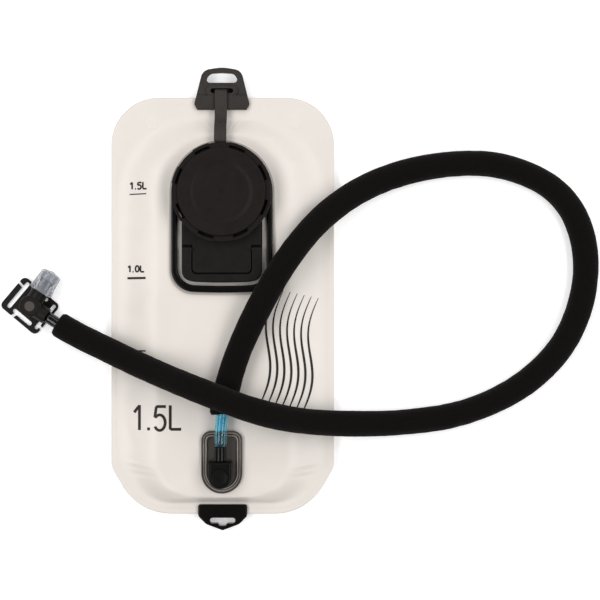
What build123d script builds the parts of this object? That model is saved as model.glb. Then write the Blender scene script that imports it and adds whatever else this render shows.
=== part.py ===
from build123d import *
import math
import os

# A 1.5 litre hydration bladder lying on its back, fill port up. Millimetres, +Z up, +Y towards
# the hanger. The origin is on the floor, under the middle of the bag with its hangers.

# ---- bag: two welded films, nearly empty
BAG_HALF_WIDTH = 89.2
BAG_TOP_Y = 161.2
BAG_BOTTOM_Y = -172.0
BAG_THICK = 17.6
SEAM_Z = 7.0
FILM = 0.6
FOOT = 1.5
TOP_ROUND = 38.0
BOTTOM_CORNER = [(0.0, 37.7, 16.0), (22.3, 0.0, 44.0)]

# Each outline is half width, top y, bottom y, corner scale, z. They run from the weld inwards.
WELD_OUTLINE = (84.5, 151.0, -163.5, 0.93)
FRONT_STEPS = [
    (*WELD_OUTLINE, SEAM_Z + FILM),
    (70.0, 141.0, -160.0, 0.8, 13.5),
    (50.0, 129.0, -157.0, 0.6, BAG_THICK),
]
REAR_STEPS = [
    (*WELD_OUTLINE, SEAM_Z - FILM),
    (76.0, 146.0, -161.0, 0.86, 2.2),
    (66.0, 140.0, -156.0, 0.76, 0.0),
]

# ---- fill port, on the front film
PORT_X = -0.1
PORT_Y = 84.5
SKIRT = (41.8, 81.4, 19.0)
RIM_OUTER = (40.3, 79.5, 18.0)
RIM_INNER = (35.3, 74.1, 14.0)
PLATE = (32.0, 71.5, 11.0)
PORT_BOW = 1.8
RIM_ROUND = 1.5
SKIRT_TOP = 19.0
RIM_TOP = 22.2
PLATE_TOP = 20.0
PAD_HALF_WIDTH = 23.5
PAD_BOTTOM_Y = 20.6
PAD_TOP_Y = 46.0
PAD_TOP = 24.0
PAD_EDGE = 0.8
BLOCK_BOTTOM_Y = 42.6
BLOCK_INSET = 0.8
BLOCK_CLEAR_RADIUS = 37.7
NECK_BORE = 27.6
NECK_RADIUS = 30.6
NECK_TOP = 31.0

# ---- screw thread, two starts
LEAD = 8.0
STARTS = 2
NECK_CREST = 31.8
NECK_THREAD_Z = 26.0
NECK_THREAD_SWEEP = 300.0
CAP_CREST = 31.0
CAP_THREAD_Z = 28.0
CAP_THREAD_SWEEP = 200.0
RIDGE_ROOT = 1.8
RIDGE_CREST = 0.8

# ---- cap
CAP_BORE = 32.2
CAP_RADIUS = 34.2
CAP_BOTTOM = 22.6
CAP_TOP = 34.6
CAP_ROOF = 32.0
CAP_TOP_RADIUS = 35.0
LIP_RADIUS = 34.9
LIP_THICK = 0.6
GRIP_RADIUS = 39.2
GRIP_BOTTOM = 26.5
GRIP_TOP = 32.5
LOBE_RADIUS = 39.8
LOBES = 8
WINDOW_INNER = 34.2
WINDOW_OUTER = 37.4
WINDOW_ANGLE = 20.5
FIRST_WINDOW = 25.0
FRAME_WIDTH = 0.8
FRAME_ANGLE = 23.0
FRAME_HEIGHT = 0.4
DISH_RADIUS = 22.0
DISH_SLOPE = 3.0
DISH_DEPTH = 0.8
DIMPLE_RADIUS = 1.2
DIMPLE_DEPTH = 0.5
SEAL_INNER = 28.2
SEAL_OUTER = 31.4
SEAL_THICK = 0.9

# ---- tether that keeps the cap
RING_INNER = 34.5
RING_OUTER = 37.0
RING_Z = (23.5, 25.5)
TAB_HALF_WIDTH = 4.5
TAB_END = 46.0
TAB_CORNER = 3.0
STRAP_X = -1.3
STRAP_WIDTH = 9.8
STRAP_THICK = 1.6
STRAP_LINE = [(166.8, 4.0), (166.8, 13.6), (151.0, 13.4), (141.0, 19.6), (133.8, 26.6), (124.4, 26.5)]
STRAP_ROUNDS = [2.2, 12.0, 12.0, 6.0]
TOGGLE = (23.0, 6.2, 1.8)
TOGGLE_Z = 3.7

# ---- folding carry handle
HANDLE_OUTER = 31.7
HANDLE_INNER = 23.9
HANDLE_BOTTOM_Y = 13.4
HANDLE_BOW = 1.3
HANDLE_BAR = 6.4
HANDLE_CORNER = 8.0
HANDLE_THICK = 5.3
HANDLE_EDGE = 0.8
PIVOT_Y = 39.0
PIVOT_Z = 22.9
PIN_RADIUS = 1.5
PIN_CLEARANCE = 0.06
PIN_REACH = 30.5
PIN_ROOT = 21.5

# ---- top hanger
HANGER_X = -0.6
HANGER_SIDE = [(19.8, 151.4), (22.2, 156.0), (15.4, 183.2)]
HANGER_PEAK_Y = 185.5
HANGER_BAND_Y = 163.2
HANGER_PLATE_Z = (5.0, 9.5)
HANGER_BAND_Z = (2.5, 11.5)
LOOP_WIDTH = 28.3
LOOP_Y = (173.1, 181.1)
BOSS = (25.5, 7.7, 166.6)
BOSS_TOP = 11.0
SLOT = (18.2, 3.9, 166.6)
FILM_SLIT = 0.65

# ---- bottom hanger
TAIL_HALF_WIDTH = 19.7
TAIL_TOP_Y = -164.3
TAIL_SHOULDER_Y = -173.7
TAIL_ELBOW = (13.3, -180.2)
TAIL_TIP_Y = -185.2
TAIL_Z = (2.5, 10.5)
TAIL_HOLE = (20.2, 4.4, -177.2)
TAIL_NOTCH = (4.4, -181.4)

# ---- hose outlet
OUTLET_X = -0.2
FLANGE_HALF_WIDTH = 16.4
FLANGE_TOP_Y = -104.8
FLANGE_ARC_Y = -138.2
FLANGE_CORNER = 7.5
FLANGE_Z = (BAG_THICK, 19.0)
OUTER_RIM = (0.0, 1.2, 20.6)
INNER_RIM = (3.3, 4.4, 21.2)
HOSE_X = -1.2
HOSE_Z = 27.2
HOUSING_HALF_WIDTH = 9.4
HOUSING_FACE_Y = -128.5
HOUSING_ARC_Y = -140.5
HOUSING_TOP = 34.5
HOUSING_BORE = 3.7
FLOW_BORE = 3.5
BUTTON_Y = -140.7
BUTTON_RADIUS = 6.6
BUTTON_Z = (33.3, 35.4)
BUTTON_TRAVEL = 1.2
BUTTON_DISH_RADIUS = 30.0
BUTTON_DISH_DEPTH = 0.5
SPRING_WIRE = 0.25
SPRING_RADIUS = 2.4
SPRING_CONE = -40.0
HOUSING_ROUND = 2.2
POCKET_RADIUS = 6.8
POCKET_FLOOR = 31.4
LATCH_Y = (-139.3, -138.1)
LATCH_HALF_WIDTH = 5.2
LATCH_BOTTOM = 23.0
LATCH_NOTCH = 3.9
LATCH_PLAY = 0.3

# ---- hose connector
SPIGOT_RADIUS = 3.5
SPIGOT_END_Y = -140.0
COLLAR_RADIUS = 4.9
COLLAR_Y = (-128.3, -117.0)
BARB_RADIUS = 3.1
BARB_END_Y = -105.0
BARB_RIDGES = 3
FLOW_RADIUS = 2.2
O_RING = (3.15, 0.5)
O_RING_Y = -133.5

# ---- drink tube, its sleeve, and the route that they share
TUBE_RADIUS = 4.75
TUBE_BORE = 3.2
SLEEVE_RADIUS = 9.0
SLEEVE_BORE = 4.95
SLEEVE_START = (-1.0, -90.6, HOSE_Z)
SLEEVE_START_TURN = -14.0
ELBOW_AT = (-153.1, -5.8, 12.9)
ELBOW_TO_HOSE = 15.0
ELBOW_TO_SLEEVE = 25.5
HOSE_HEADING = math.radians(-33.0)
VALVE_HEADING = math.radians(57.0)
FLOOR_Z = 9.3


def from_elbow(reach):
    """A point on the hose side of the elbow's axis."""
    x = ELBOW_AT[0] + reach * math.cos(HOSE_HEADING)
    y = ELBOW_AT[1] + reach * math.sin(HOSE_HEADING)
    return (x, y, ELBOW_AT[2])


ROUTE = [
    (HOSE_X, COLLAR_Y[1], HOSE_Z),
    (HOSE_X, -93.0, HOSE_Z),
    (10.0, -47.0, HOSE_Z),
    (31.0, -3.0, 34.4),
    (52.0, 33.0, 33.6),
    (80.0, 67.0, 23.0),
    (118.0, 93.0, 13.0),
    (168.0, 108.0, FLOOR_Z),
    (225.0, 109.5, FLOOR_Z),
    (276.5, 84.0, FLOOR_Z),
    (294.5, 32.0, FLOOR_Z),
    (282.0, -26.0, FLOOR_Z),
    (247.5, -66.5, FLOOR_Z),
    (196.5, -92.0, FLOOR_Z),
    (143.0, -99.5, 10.5),
    (97.0, -99.5, 19.5),
    (60.0, -96.5, 29.5),
    (26.0, -88.0, 46.6),
    (-17.0, -71.5, 46.4),
    (-56.0, -56.5, 30.0),
    (-93.0, -39.5, 20.0),
    from_elbow(36.0),
    from_elbow(ELBOW_TO_HOSE),
]
ARC_SHARE = 0.45

# ---- elbow, bite valve and strap clip, about the elbow's upright axis
ELBOW_RADIUS = 8.6
ELBOW_Z = (3.4, 19.9)
ELBOW_COLLAR_RADIUS = 6.5
ELBOW_BARB_END = 24.0
SOCKET_RADIUS = 7.0
SOCKET_BORE = 4.88
SOCKET_END = 13.6
BOSS_RADIUS = 5.5
PLUG_RADIUS = 4.0
STEM_RADIUS = 4.8
STEM_BORE = 2.6
STEM_SPAN = (6.5, 25.0)
STEM_RING = (4.25, 0.6)
STEM_RING_AT = 10.5
VALVE_START = 14.0
VALVE_END = 32.9
VALVE_COLLAR = (9.9, 2.4)
VALVE_ROOT_RADIUS = 9.4
VALVE_TIP_RADIUS = 8.3
VALVE_DOME = 1.6
VALVE_WALL = 1.8
VALVE_SLIT = (9.0, 0.5)
CAVITY_LENGTH = 5.4
DISC_GROOVE = (6.2, 7.2, 0.5)
CLIP_TURN = -40.0
CLIP_THICK = 2.8
CLIP_U = (-20.8, 16.8)
CLIP_V = (-16.8, 14.4)
CLIP_CORNER = 4.0
CLIP_EDGE = 0.4
CLIP_HOLE = 5.7
CLIP_RECESS = 1.3
# Slots are middle u, middle v, length, width, turn; a cut opens a bar for threading the web.
CLIP_SLOTS = [
    (-14.6, -0.6, 26.0, 3.6, 90),
    (13.3, -0.2, 25.0, 3.0, 90),
    (-0.8, -12.2, 19.0, 3.6, 0),
    (-2.0, 11.2, 17.0, 3.0, 0),
]
CLIP_CUTS = [
    (-18.6, 7.4, 6.0, 2.0, -8),
    (-7.0, -15.2, 6.0, 2.4, 70),
    (16.0, -9.4, 6.0, 2.2, -25),
]


def bag_outline(half_width, top, bottom, corner=1.0):
    """One closed outline of the bag; corner scales its rounded corners."""
    right = [(half_width, top)]
    rounds = [TOP_ROUND * corner]
    for inboard, up, radius in BOTTOM_CORNER:
        right.append((half_width - inboard * corner, bottom + up * corner))
        rounds.append(radius * corner)
    left = [(-x, y) for x, y in reversed(right)]
    wire = FilletPolyline(*right, *left, radius=rounds + rounds[::-1], close=True)
    return make_face(wire)


def bag_skin(steps, grow, lift):
    """A solid through the outlines of steps, each grown sideways and lifted."""
    sections = []
    for half_width, top, bottom, corner, z in steps:
        outline = bag_outline(half_width + grow, top + grow, bottom - grow, corner)
        sections.append(Pos(0, 0, z + lift) * outline)
    return loft(sections, ruled=True)


def bag_film(steps, flange_z, inward):
    """One film: the welded flange and the hollow shell of its bulge."""
    half_width, top, bottom, corner = WELD_OUTLINE
    opening = bag_outline(half_width - FOOT, top - FOOT, bottom + FOOT, corner)
    flange = bag_outline(BAG_HALF_WIDTH, BAG_TOP_Y, BAG_BOTTOM_Y) - opening
    flange = Pos(0, 0, flange_z) * extrude(flange, FILM)
    shell = bag_skin(steps, 0, 0) - bag_skin(steps, -FILM, inward * FILM)
    return flange + shell


def rear_film():
    return bag_film(REAR_STEPS, SEAM_Z - FILM, 1)


def front_film():
    film = bag_film(FRONT_STEPS, SEAM_Z, -1)
    film -= Pos(PORT_X, PORT_Y, BAG_THICK) * Cylinder(NECK_BORE, 4)
    return film - Pos(HOSE_X, HOUSING_ARC_Y, BAG_THICK) * Cylinder(FLOW_BORE, 4)


def bowed_panel(half_width, length, bow, corner):
    """Straight top and sides, and a foot that bows outwards between two rounded corners."""
    side = length - bow
    outline = Polyline((half_width, -side), (half_width, 0), (-half_width, 0), (-half_width, -side))
    foot = ThreePointArc((-half_width, -side), (0, -length), (half_width, -side))
    panel = make_face(outline + foot)
    return fillet(panel.vertices().group_by(Axis.Y)[0], corner)


def port_outline(half_width, below, corner):
    """Round above the cap's axis, a bowed panel below it."""
    bow = PORT_BOW * half_width / SKIRT[0]
    return Pos(PORT_X, PORT_Y) * (Circle(half_width) + bowed_panel(half_width, below, bow, corner))


def port_disc(radius, bottom, top):
    """An upright cylinder on the cap's axis."""
    height = top - bottom
    return Pos(PORT_X, PORT_Y, bottom + height / 2) * Cylinder(radius, height)


def port_ring(inner, outer, bottom, top):
    return port_disc(outer, bottom, top) - port_disc(inner, bottom, top)


def fill_port_skirt():
    skirt = extrude(Pos(0, 0, BAG_THICK) * port_outline(*SKIRT), SKIRT_TOP - BAG_THICK)
    return skirt - port_disc(NECK_BORE, BAG_THICK - 1, SKIRT_TOP + 1)


def fill_port_rim():
    band = port_outline(*RIM_OUTER) - port_outline(*RIM_INNER)
    rim = extrude(Pos(0, 0, SKIRT_TOP) * band, RIM_TOP - SKIRT_TOP)
    return fillet(rim.edges().group_by(Axis.Z)[-1], RIM_ROUND)


def thread_ridges(root, crest, middle_z, sweep_angle):
    """The helical ridges of one thread; crest is the free side, inwards or outwards."""
    height = LEAD * sweep_angle / 360
    bottom = middle_z - height / 2
    helix = Helix(LEAD, height, root)
    overlap = 0.3 if crest > root else -0.3
    profile = Polyline(
        (root - overlap, 0, -RIDGE_ROOT / 2),
        (crest, 0, -RIDGE_CREST / 2),
        (crest, 0, RIDGE_CREST / 2),
        (root - overlap, 0, RIDGE_ROOT / 2),
        close=True,
    )
    ridge = sweep(make_face(profile), path=helix, is_frenet=True)
    first = -sweep_angle / 2
    turns = [first + 360 * start / STARTS for start in range(STARTS)]
    return [Pos(PORT_X, PORT_Y, bottom) * Rot(0, 0, turn) * ridge for turn in turns]


def hinge_block():
    """Full-width block above the handle's legs and the pad between them, as one."""
    half_width, below, corner = PLATE
    inner = port_outline(half_width - BLOCK_INSET, below, corner)
    upper = Pos(PORT_X, (BLOCK_BOTTOM_Y + PORT_Y) / 2) * Rectangle(100, PORT_Y - BLOCK_BOTTOM_Y)
    upper = (inner & upper) - Pos(PORT_X, PORT_Y) * Circle(BLOCK_CLEAR_RADIUS)
    pad_length = PAD_TOP_Y - PAD_BOTTOM_Y
    pad = Pos(PORT_X, PAD_BOTTOM_Y + pad_length / 2) * Rectangle(2 * PAD_HALF_WIDTH, pad_length)
    pad = fillet(pad.vertices().group_by(Axis.Y)[0], HANDLE_CORNER / 2)
    block = extrude(Pos(0, 0, SKIRT_TOP) * (pad + upper), PAD_TOP - SKIRT_TOP)
    return fillet(block.edges().group_by(Axis.Z)[-1], PAD_EDGE)


def fill_port_plate():
    """Base plate, hinge block and threaded neck, one moulding."""
    plate = extrude(Pos(0, 0, SKIRT_TOP) * port_outline(*PLATE), PLATE_TOP - SKIRT_TOP)
    pad = hinge_block()
    neck = port_disc(NECK_RADIUS, SKIRT_TOP, NECK_TOP)
    moulding = plate + pad + neck
    for ridge in thread_ridges(NECK_RADIUS, NECK_CREST, NECK_THREAD_Z, NECK_THREAD_SWEEP):
        moulding += ridge
    moulding -= port_disc(NECK_BORE, SKIRT_TOP - 1, NECK_TOP + 1)
    for side in (-1, 1):
        moulding -= pivot_rod(side, PIN_RADIUS, PIN_ROOT, PAD_HALF_WIDTH + 1)
    return moulding


def pivot_rod(side, radius, start, end):
    """A rod on the handle's pivot axis, from start to end out from the middle."""
    middle = PORT_X + side * (start + end) / 2
    return Pos(middle, PIVOT_Y, PIVOT_Z) * Rot(0, 90, 0) * Cylinder(radius, end - start)


def handle_pins():
    return [pivot_rod(side, PIN_RADIUS, PIN_ROOT, PIN_REACH) for side in (-1, 1)]


def carry_handle():
    length = PIVOT_Y - HANDLE_BOTTOM_Y
    outer = bowed_panel(HANDLE_OUTER, length, HANDLE_BOW, HANDLE_CORNER)
    inner = Pos(0, HANDLE_BAR - length / 2) * Rectangle(2 * HANDLE_INNER, length)
    inner = fillet(inner.vertices().group_by(Axis.Y)[0], HANDLE_CORNER / 2)
    bail = extrude(outer - inner, HANDLE_THICK / 2, both=True)
    bail = fillet(bail.edges().group_by(Axis.Z)[-1], HANDLE_EDGE)
    bail = Pos(PORT_X, PIVOT_Y, PIVOT_Z) * bail
    for side in (-1, 1):
        bail += pivot_rod(side, HANDLE_THICK / 2, HANDLE_INNER, HANDLE_OUTER)
    for side in (-1, 1):
        bail -= pivot_rod(side, PIN_RADIUS + PIN_CLEARANCE, HANDLE_INNER - 1, PIN_REACH + 0.1)
    return bail


def ring_sector(inner, outer, angle, bottom, top):
    """A piece of an upright ring, angle degrees wide about +X."""
    reach = 2 * outer
    half = math.radians(angle / 2)
    corner = (reach * math.cos(half), reach * math.sin(half))
    sector = make_face(Polyline((0, 0), corner, (corner[0], -corner[1]), close=True))
    face = (Circle(outer) - Circle(inner)) & sector
    return Pos(0, 0, bottom) * extrude(face, top - bottom)


def grip_ring():
    """The pierced and lobed ring that the fingers turn; each window has a raised frame."""
    ring = port_ring(CAP_RADIUS - 0.5, GRIP_RADIUS, GRIP_BOTTOM, GRIP_TOP)
    lobe = ring_sector(GRIP_RADIUS - 0.5, LOBE_RADIUS, WINDOW_ANGLE, GRIP_BOTTOM, GRIP_TOP)
    frame_top = GRIP_TOP + FRAME_HEIGHT
    frame = ring_sector(WINDOW_INNER, WINDOW_OUTER + FRAME_WIDTH, FRAME_ANGLE, GRIP_TOP - 0.1, frame_top)
    window = ring_sector(WINDOW_INNER, WINDOW_OUTER, WINDOW_ANGLE, 0, 2 * GRIP_TOP)
    turns = [Rot(0, 0, FIRST_WINDOW + index * 360 / LOBES) for index in range(LOBES)]
    for turn in turns:
        ring += Pos(PORT_X, PORT_Y) * turn * (lobe + frame)
    for turn in turns:
        ring -= Pos(PORT_X, PORT_Y) * turn * window
    return ring


def cap_roof():
    """A shallow dish with a moulder's dimple, a soft step up from it and a rounded rim."""
    dish = CAP_TOP - DISH_DEPTH
    dimple = dish - DIMPLE_DEPTH
    top = [
        (0, dimple),
        (DIMPLE_RADIUS, dimple),
        (DIMPLE_RADIUS + 0.3, dish),
        (DISH_RADIUS, dish),
        (DISH_RADIUS + DISH_SLOPE, CAP_TOP),
        (CAP_TOP_RADIUS, CAP_TOP),
        (CAP_TOP_RADIUS, CAP_ROOF),
    ]
    upper = FilletPolyline(*top, radius=[0.1, 0.2, 5.0, 5.0, 1.2])
    lower = Polyline((CAP_TOP_RADIUS, CAP_ROOF), (0, CAP_ROOF), (0, dimple))
    section = Plane.XZ * make_face(upper + lower)
    return Pos(PORT_X, PORT_Y) * revolve(section, Axis.Z)


def cap_shell():
    skirt = port_ring(CAP_BORE, CAP_RADIUS, CAP_BOTTOM, CAP_ROOF)
    lip = port_ring(CAP_BORE, LIP_RADIUS, CAP_BOTTOM, CAP_BOTTOM + LIP_THICK)
    shell = skirt + lip + grip_ring() + cap_roof()
    for ridge in thread_ridges(CAP_BORE, CAP_CREST, CAP_THREAD_Z, CAP_THREAD_SWEEP):
        shell += ridge
    return shell


def cap_seal():
    return port_ring(SEAL_INNER, SEAL_OUTER, CAP_ROOF - SEAL_THICK, CAP_ROOF)


def tether_ring():
    ring = port_disc(RING_OUTER, *RING_Z)
    length = TAB_END - RING_INNER
    middle = (STRAP_X, PORT_Y + RING_INNER + length / 2, sum(RING_Z) / 2)
    tab = Pos(*middle) * Box(2 * TAB_HALF_WIDTH, length, RING_Z[1] - RING_Z[0])
    tab = fillet(tab.edges().filter_by(Axis.Z).group_by(Axis.Y)[-1], TAB_CORNER)
    return ring + tab - port_disc(RING_INNER, RING_Z[0] - 1, RING_Z[1] + 1)


def tether_strap():
    """Flat strap, from a crossbar under the hanger's slot to the top of the tether ring's tab."""
    line = FilletPolyline(*STRAP_LINE, radius=STRAP_ROUNDS)
    band = extrude(Plane.YZ * trace(line, STRAP_THICK), STRAP_WIDTH / 2, both=True)
    toggle = Pos(0, STRAP_LINE[0][0], TOGGLE_Z) * Box(*TOGGLE)
    return Pos(STRAP_X, 0, 0) * (band + toggle)


def slot_shape(width, height, y):
    return Pos(HANGER_X, y) * SlotOverall(width, height)


def top_hanger():
    left = [(-x, y) for x, y in reversed(HANGER_SIDE)]
    peak = (0, HANGER_PEAK_Y)
    rounds = [1.0, 3.0, 8.0, 30.0, 8.0, 3.0, 1.0]
    outline = make_face(FilletPolyline(*HANGER_SIDE, peak, *left, radius=rounds, close=True))
    outline = Pos(HANGER_X, 0) * outline
    plate = extrude(Pos(0, 0, HANGER_PLATE_Z[0]) * outline, HANGER_PLATE_Z[1] - HANGER_PLATE_Z[0])
    below = Pos(0, HANGER_BAND_Y - 50) * Rectangle(100, 100)
    band_height = HANGER_BAND_Z[1] - HANGER_BAND_Z[0]
    band = extrude(Pos(0, 0, HANGER_BAND_Z[0]) * (outline & below), band_height)
    band = fillet(band.edges().group_by(Axis.Z)[-1], 1.2)
    boss = extrude(Pos(0, 0, HANGER_PLATE_Z[1] - 1) * slot_shape(*BOSS), BOSS_TOP - HANGER_PLATE_Z[1] + 1)
    hanger = plate + band + boss
    hanger -= extrude(slot_shape(*SLOT), 20)
    hanger -= extrude(loop_opening(), 20)
    slit_length = 2 * (BAG_TOP_Y + 0.3 - HANGER_SIDE[0][1])
    slit = Box(100, slit_length, 2 * FILM_SLIT)
    return hanger - Pos(0, HANGER_SIDE[0][1], SEAM_Z) * slit


def loop_opening():
    """The hook opening: flat below, arched above."""
    half = LOOP_WIDTH / 2
    low, high = LOOP_Y
    points = [(-half, low), (half, low), (half - 4.5, high - 0.6), (0, high), (4.5 - half, high - 0.6)]
    face = make_face(FilletPolyline(*points, radius=[2.6, 2.6, 5.0, 30.0, 5.0], close=True))
    return Pos(HANGER_X, 0) * face


def bottom_hanger():
    right = [(TAIL_HALF_WIDTH, TAIL_TOP_Y), (TAIL_HALF_WIDTH, TAIL_SHOULDER_Y), TAIL_ELBOW]
    left = [(-x, y) for x, y in reversed(right)]
    points = [*right, (0, TAIL_TIP_Y), *left]
    rounds = [2.0, 4.0, 8.0, 1.5, 8.0, 4.0, 2.0]
    outline = make_face(FilletPolyline(*points, radius=rounds, close=True))
    hanger = extrude(Pos(0, 0, TAIL_Z[0]) * outline, TAIL_Z[1] - TAIL_Z[0])
    hanger = fillet(hanger.edges().group_by(Axis.Z)[-1], 1.2)
    width, height, y = TAIL_HOLE
    hole = Pos(0, y) * RectangleRounded(width, height, height / 2 - 0.1)
    half, notch_y = TAIL_NOTCH[0] / 2, TAIL_NOTCH[1]
    notch = make_face(Polyline((-5.5, y), (5.5, y), (half, notch_y), (-half, notch_y), close=True))
    hanger -= extrude(hole + notch, 20)
    slit_length = 2 * (TAIL_TOP_Y - BAG_BOTTOM_Y + 0.3)
    return hanger - Pos(0, TAIL_TOP_Y, SEAM_Z) * Box(100, slit_length, 2 * FILM_SLIT)


def outlet_outline(inset):
    """Flat above with rounded corners, a half circle below."""
    half = FLANGE_HALF_WIDTH - inset
    top = FLANGE_TOP_Y - inset
    square = Pos(0, (top + FLANGE_ARC_Y) / 2) * Rectangle(2 * half, top - FLANGE_ARC_Y)
    square = fillet(square.vertices().group_by(Axis.Y)[-1], FLANGE_CORNER - inset / 2)
    return Pos(OUTLET_X, 0) * (square + Pos(0, FLANGE_ARC_Y) * Circle(half))


def flow_bore(bottom, top):
    """Upright bore from the bag to the hose's axis."""
    height = top - bottom
    return Pos(HOSE_X, HOUSING_ARC_Y, bottom + height / 2) * Cylinder(FLOW_BORE, height)


def outlet_flange():
    flange = extrude(Pos(0, 0, FLANGE_Z[0]) * outlet_outline(0), FLANGE_Z[1] - FLANGE_Z[0])
    for outer, inner, top in (OUTER_RIM, INNER_RIM):
        band = outlet_outline(outer) - outlet_outline(inner)
        rim = extrude(Pos(0, 0, FLANGE_Z[0]) * band, top - FLANGE_Z[0])
        flange += fillet(rim.edges().group_by(Axis.Z)[-1], 0.4)
    return flange - flow_bore(FLANGE_Z[0] - 1, FLANGE_Z[1] + 1)


def outlet_housing():
    length = HOUSING_FACE_Y - HOUSING_ARC_Y
    square = Pos(HOSE_X, HOUSING_ARC_Y + length / 2) * Rectangle(2 * HOUSING_HALF_WIDTH, length)
    outline = square + Pos(HOSE_X, HOUSING_ARC_Y) * Circle(HOUSING_HALF_WIDTH)
    housing = extrude(Pos(0, 0, FLANGE_Z[1]) * outline, HOUSING_TOP - FLANGE_Z[1])
    housing = fillet(housing.edges().group_by(Axis.Z)[-1], HOUSING_ROUND)
    bore_length = HOUSING_FACE_Y - HOUSING_ARC_Y + 1
    housing -= along_hose(HOUSING_BORE, HOUSING_ARC_Y, HOUSING_ARC_Y + bore_length)
    housing -= flow_bore(FLANGE_Z[1] - 1, HOSE_Z)
    pocket_height = HOUSING_TOP - POCKET_FLOOR + 1
    pocket = Cylinder(POCKET_RADIUS, pocket_height)
    housing -= Pos(HOSE_X, BUTTON_Y, POCKET_FLOOR + pocket_height / 2) * pocket
    slit_bottom = LATCH_BOTTOM - BUTTON_TRAVEL - LATCH_PLAY
    return housing - latch_box(LATCH_PLAY, slit_bottom, POCKET_FLOOR + 0.1)


def along_hose(radius, start_y, end_y):
    """A cylinder on the outlet's axis, which runs along Y."""
    length = end_y - start_y
    return Pos(HOSE_X, start_y + length / 2, HOSE_Z) * Rot(90, 0, 0) * Cylinder(radius, length)


def latch_box(play, bottom, top):
    """The space of the latch plate, grown by play across its width and thickness."""
    size_y = LATCH_Y[1] - LATCH_Y[0] + 2 * play
    middle = (HOSE_X, sum(LATCH_Y) / 2, (bottom + top) / 2)
    return Pos(*middle) * Box(2 * (LATCH_HALF_WIDTH + play), size_y, top - bottom)


def latch_plate():
    """A fork over the spigot, pressed down by the button; the notch leaves room for its travel."""
    plate = latch_box(0, LATCH_BOTTOM, BUTTON_Z[0])
    notch = Pos(0, 0, BUTTON_TRAVEL) * along_hose(LATCH_NOTCH, LATCH_Y[0] - 1, LATCH_Y[1] + 1)
    plate -= notch
    depth = HOSE_Z + BUTTON_TRAVEL - LATCH_BOTTOM
    way = Pos(HOSE_X, sum(LATCH_Y) / 2, LATCH_BOTTOM + depth / 2) * Box(2 * LATCH_NOTCH, 4, depth)
    return plate - way


def release_button():
    height = BUTTON_Z[1] - BUTTON_Z[0]
    button = Pos(HOSE_X, BUTTON_Y, BUTTON_Z[0] + height / 2) * Cylinder(BUTTON_RADIUS, height)
    button = fillet(button.edges().group_by(Axis.Z)[-1], 0.6)
    dish_z = BUTTON_Z[1] + BUTTON_DISH_RADIUS - BUTTON_DISH_DEPTH
    return button - Pos(HOSE_X, BUTTON_Y, dish_z) * Sphere(BUTTON_DISH_RADIUS)


def button_spring():
    """A cone of wire whose turns nest as the button goes down."""
    height = BUTTON_Z[0] - POCKET_FLOOR - 2 * SPRING_WIRE - 0.1
    helix = Helix(height / 2, height, SPRING_RADIUS, cone_angle=SPRING_CONE)
    start = Plane(origin=helix @ 0, z_dir=helix % 0)
    wire = sweep(start * Circle(SPRING_WIRE), path=helix, is_frenet=True)
    return Pos(HOSE_X, BUTTON_Y - 2.6, POCKET_FLOOR + SPRING_WIRE + 0.05) * wire


def hose_connector():
    spigot = along_hose(SPIGOT_RADIUS, SPIGOT_END_Y, COLLAR_Y[0] + 1)
    groove = along_hose(SPIGOT_RADIUS + 1, LATCH_Y[0] - 0.3, LATCH_Y[1] + 0.3)
    groove -= along_hose(SPIGOT_RADIUS - 0.6, SPIGOT_END_Y, COLLAR_Y[0])
    spigot -= groove
    ring_groove = along_hose(SPIGOT_RADIUS + 1, O_RING_Y - 0.7, O_RING_Y + 0.7)
    ring_groove -= along_hose(O_RING[0] - O_RING[1] - 0.02, SPIGOT_END_Y, COLLAR_Y[0])
    spigot -= ring_groove
    collar = along_hose(COLLAR_RADIUS, *COLLAR_Y)
    collar = fillet(collar.edges(), 0.5)
    waist = along_hose(COLLAR_RADIUS + 1, COLLAR_Y[1] - 2.6, COLLAR_Y[1] - 1.4)
    waist -= along_hose(COLLAR_RADIUS - 0.7, *COLLAR_Y)
    body = spigot + (collar - waist) + barb(COLLAR_Y[1], BARB_END_Y)
    return body - along_hose(FLOW_RADIUS, SPIGOT_END_Y - 1, BARB_END_Y + 1)


def barb(start_y, end_y):
    """Hose tail: a core with cones that point out of the hose."""
    core = along_hose(BARB_RADIUS - 0.4, start_y - 1, end_y)
    pitch = (end_y - start_y) / (BARB_RIDGES + 0.5)
    for index in range(BARB_RIDGES):
        middle = end_y - pitch * (index + 0.5)
        cone = Rot(-90, 0, 0) * Cone(BARB_RADIUS, BARB_RADIUS - 0.4, pitch * 0.8)
        core += Pos(HOSE_X, middle, HOSE_Z) * cone
    return core


def connector_o_ring():
    return Pos(HOSE_X, O_RING_Y, HOSE_Z) * Rot(90, 0, 0) * Torus(*O_RING)


def route_line():
    """Straight runs and tangent arcs through the route, each arc as large as its runs allow."""
    points = [Vector(*point) for point in ROUTE]
    radii = []
    for before, at, after in zip(points, points[1:], points[2:]):
        turn = math.radians((at - before).get_angle(after - at))
        shorter = min((at - before).length, (after - at).length)
        radii.append(ARC_SHARE * shorter / math.tan(turn / 2))
    print("route radii", [round(radius) for radius in radii])
    return FilletPolyline(*points, radius=radii)


def hollow_along(line, outer, inner):
    start = Plane(origin=line @ 0, z_dir=line % 0)
    return sweep(start * (Circle(outer) - Circle(inner)), path=line)


def drink_tube(line):
    tube = hollow_along(line, TUBE_RADIUS, TUBE_BORE)
    expected = math.pi * (TUBE_RADIUS ** 2 - TUBE_BORE ** 2) * line.length
    print("tube length", round(line.length))
    print("tube volume over section times length", round(tube.volume / expected, 4))
    return tube


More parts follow.
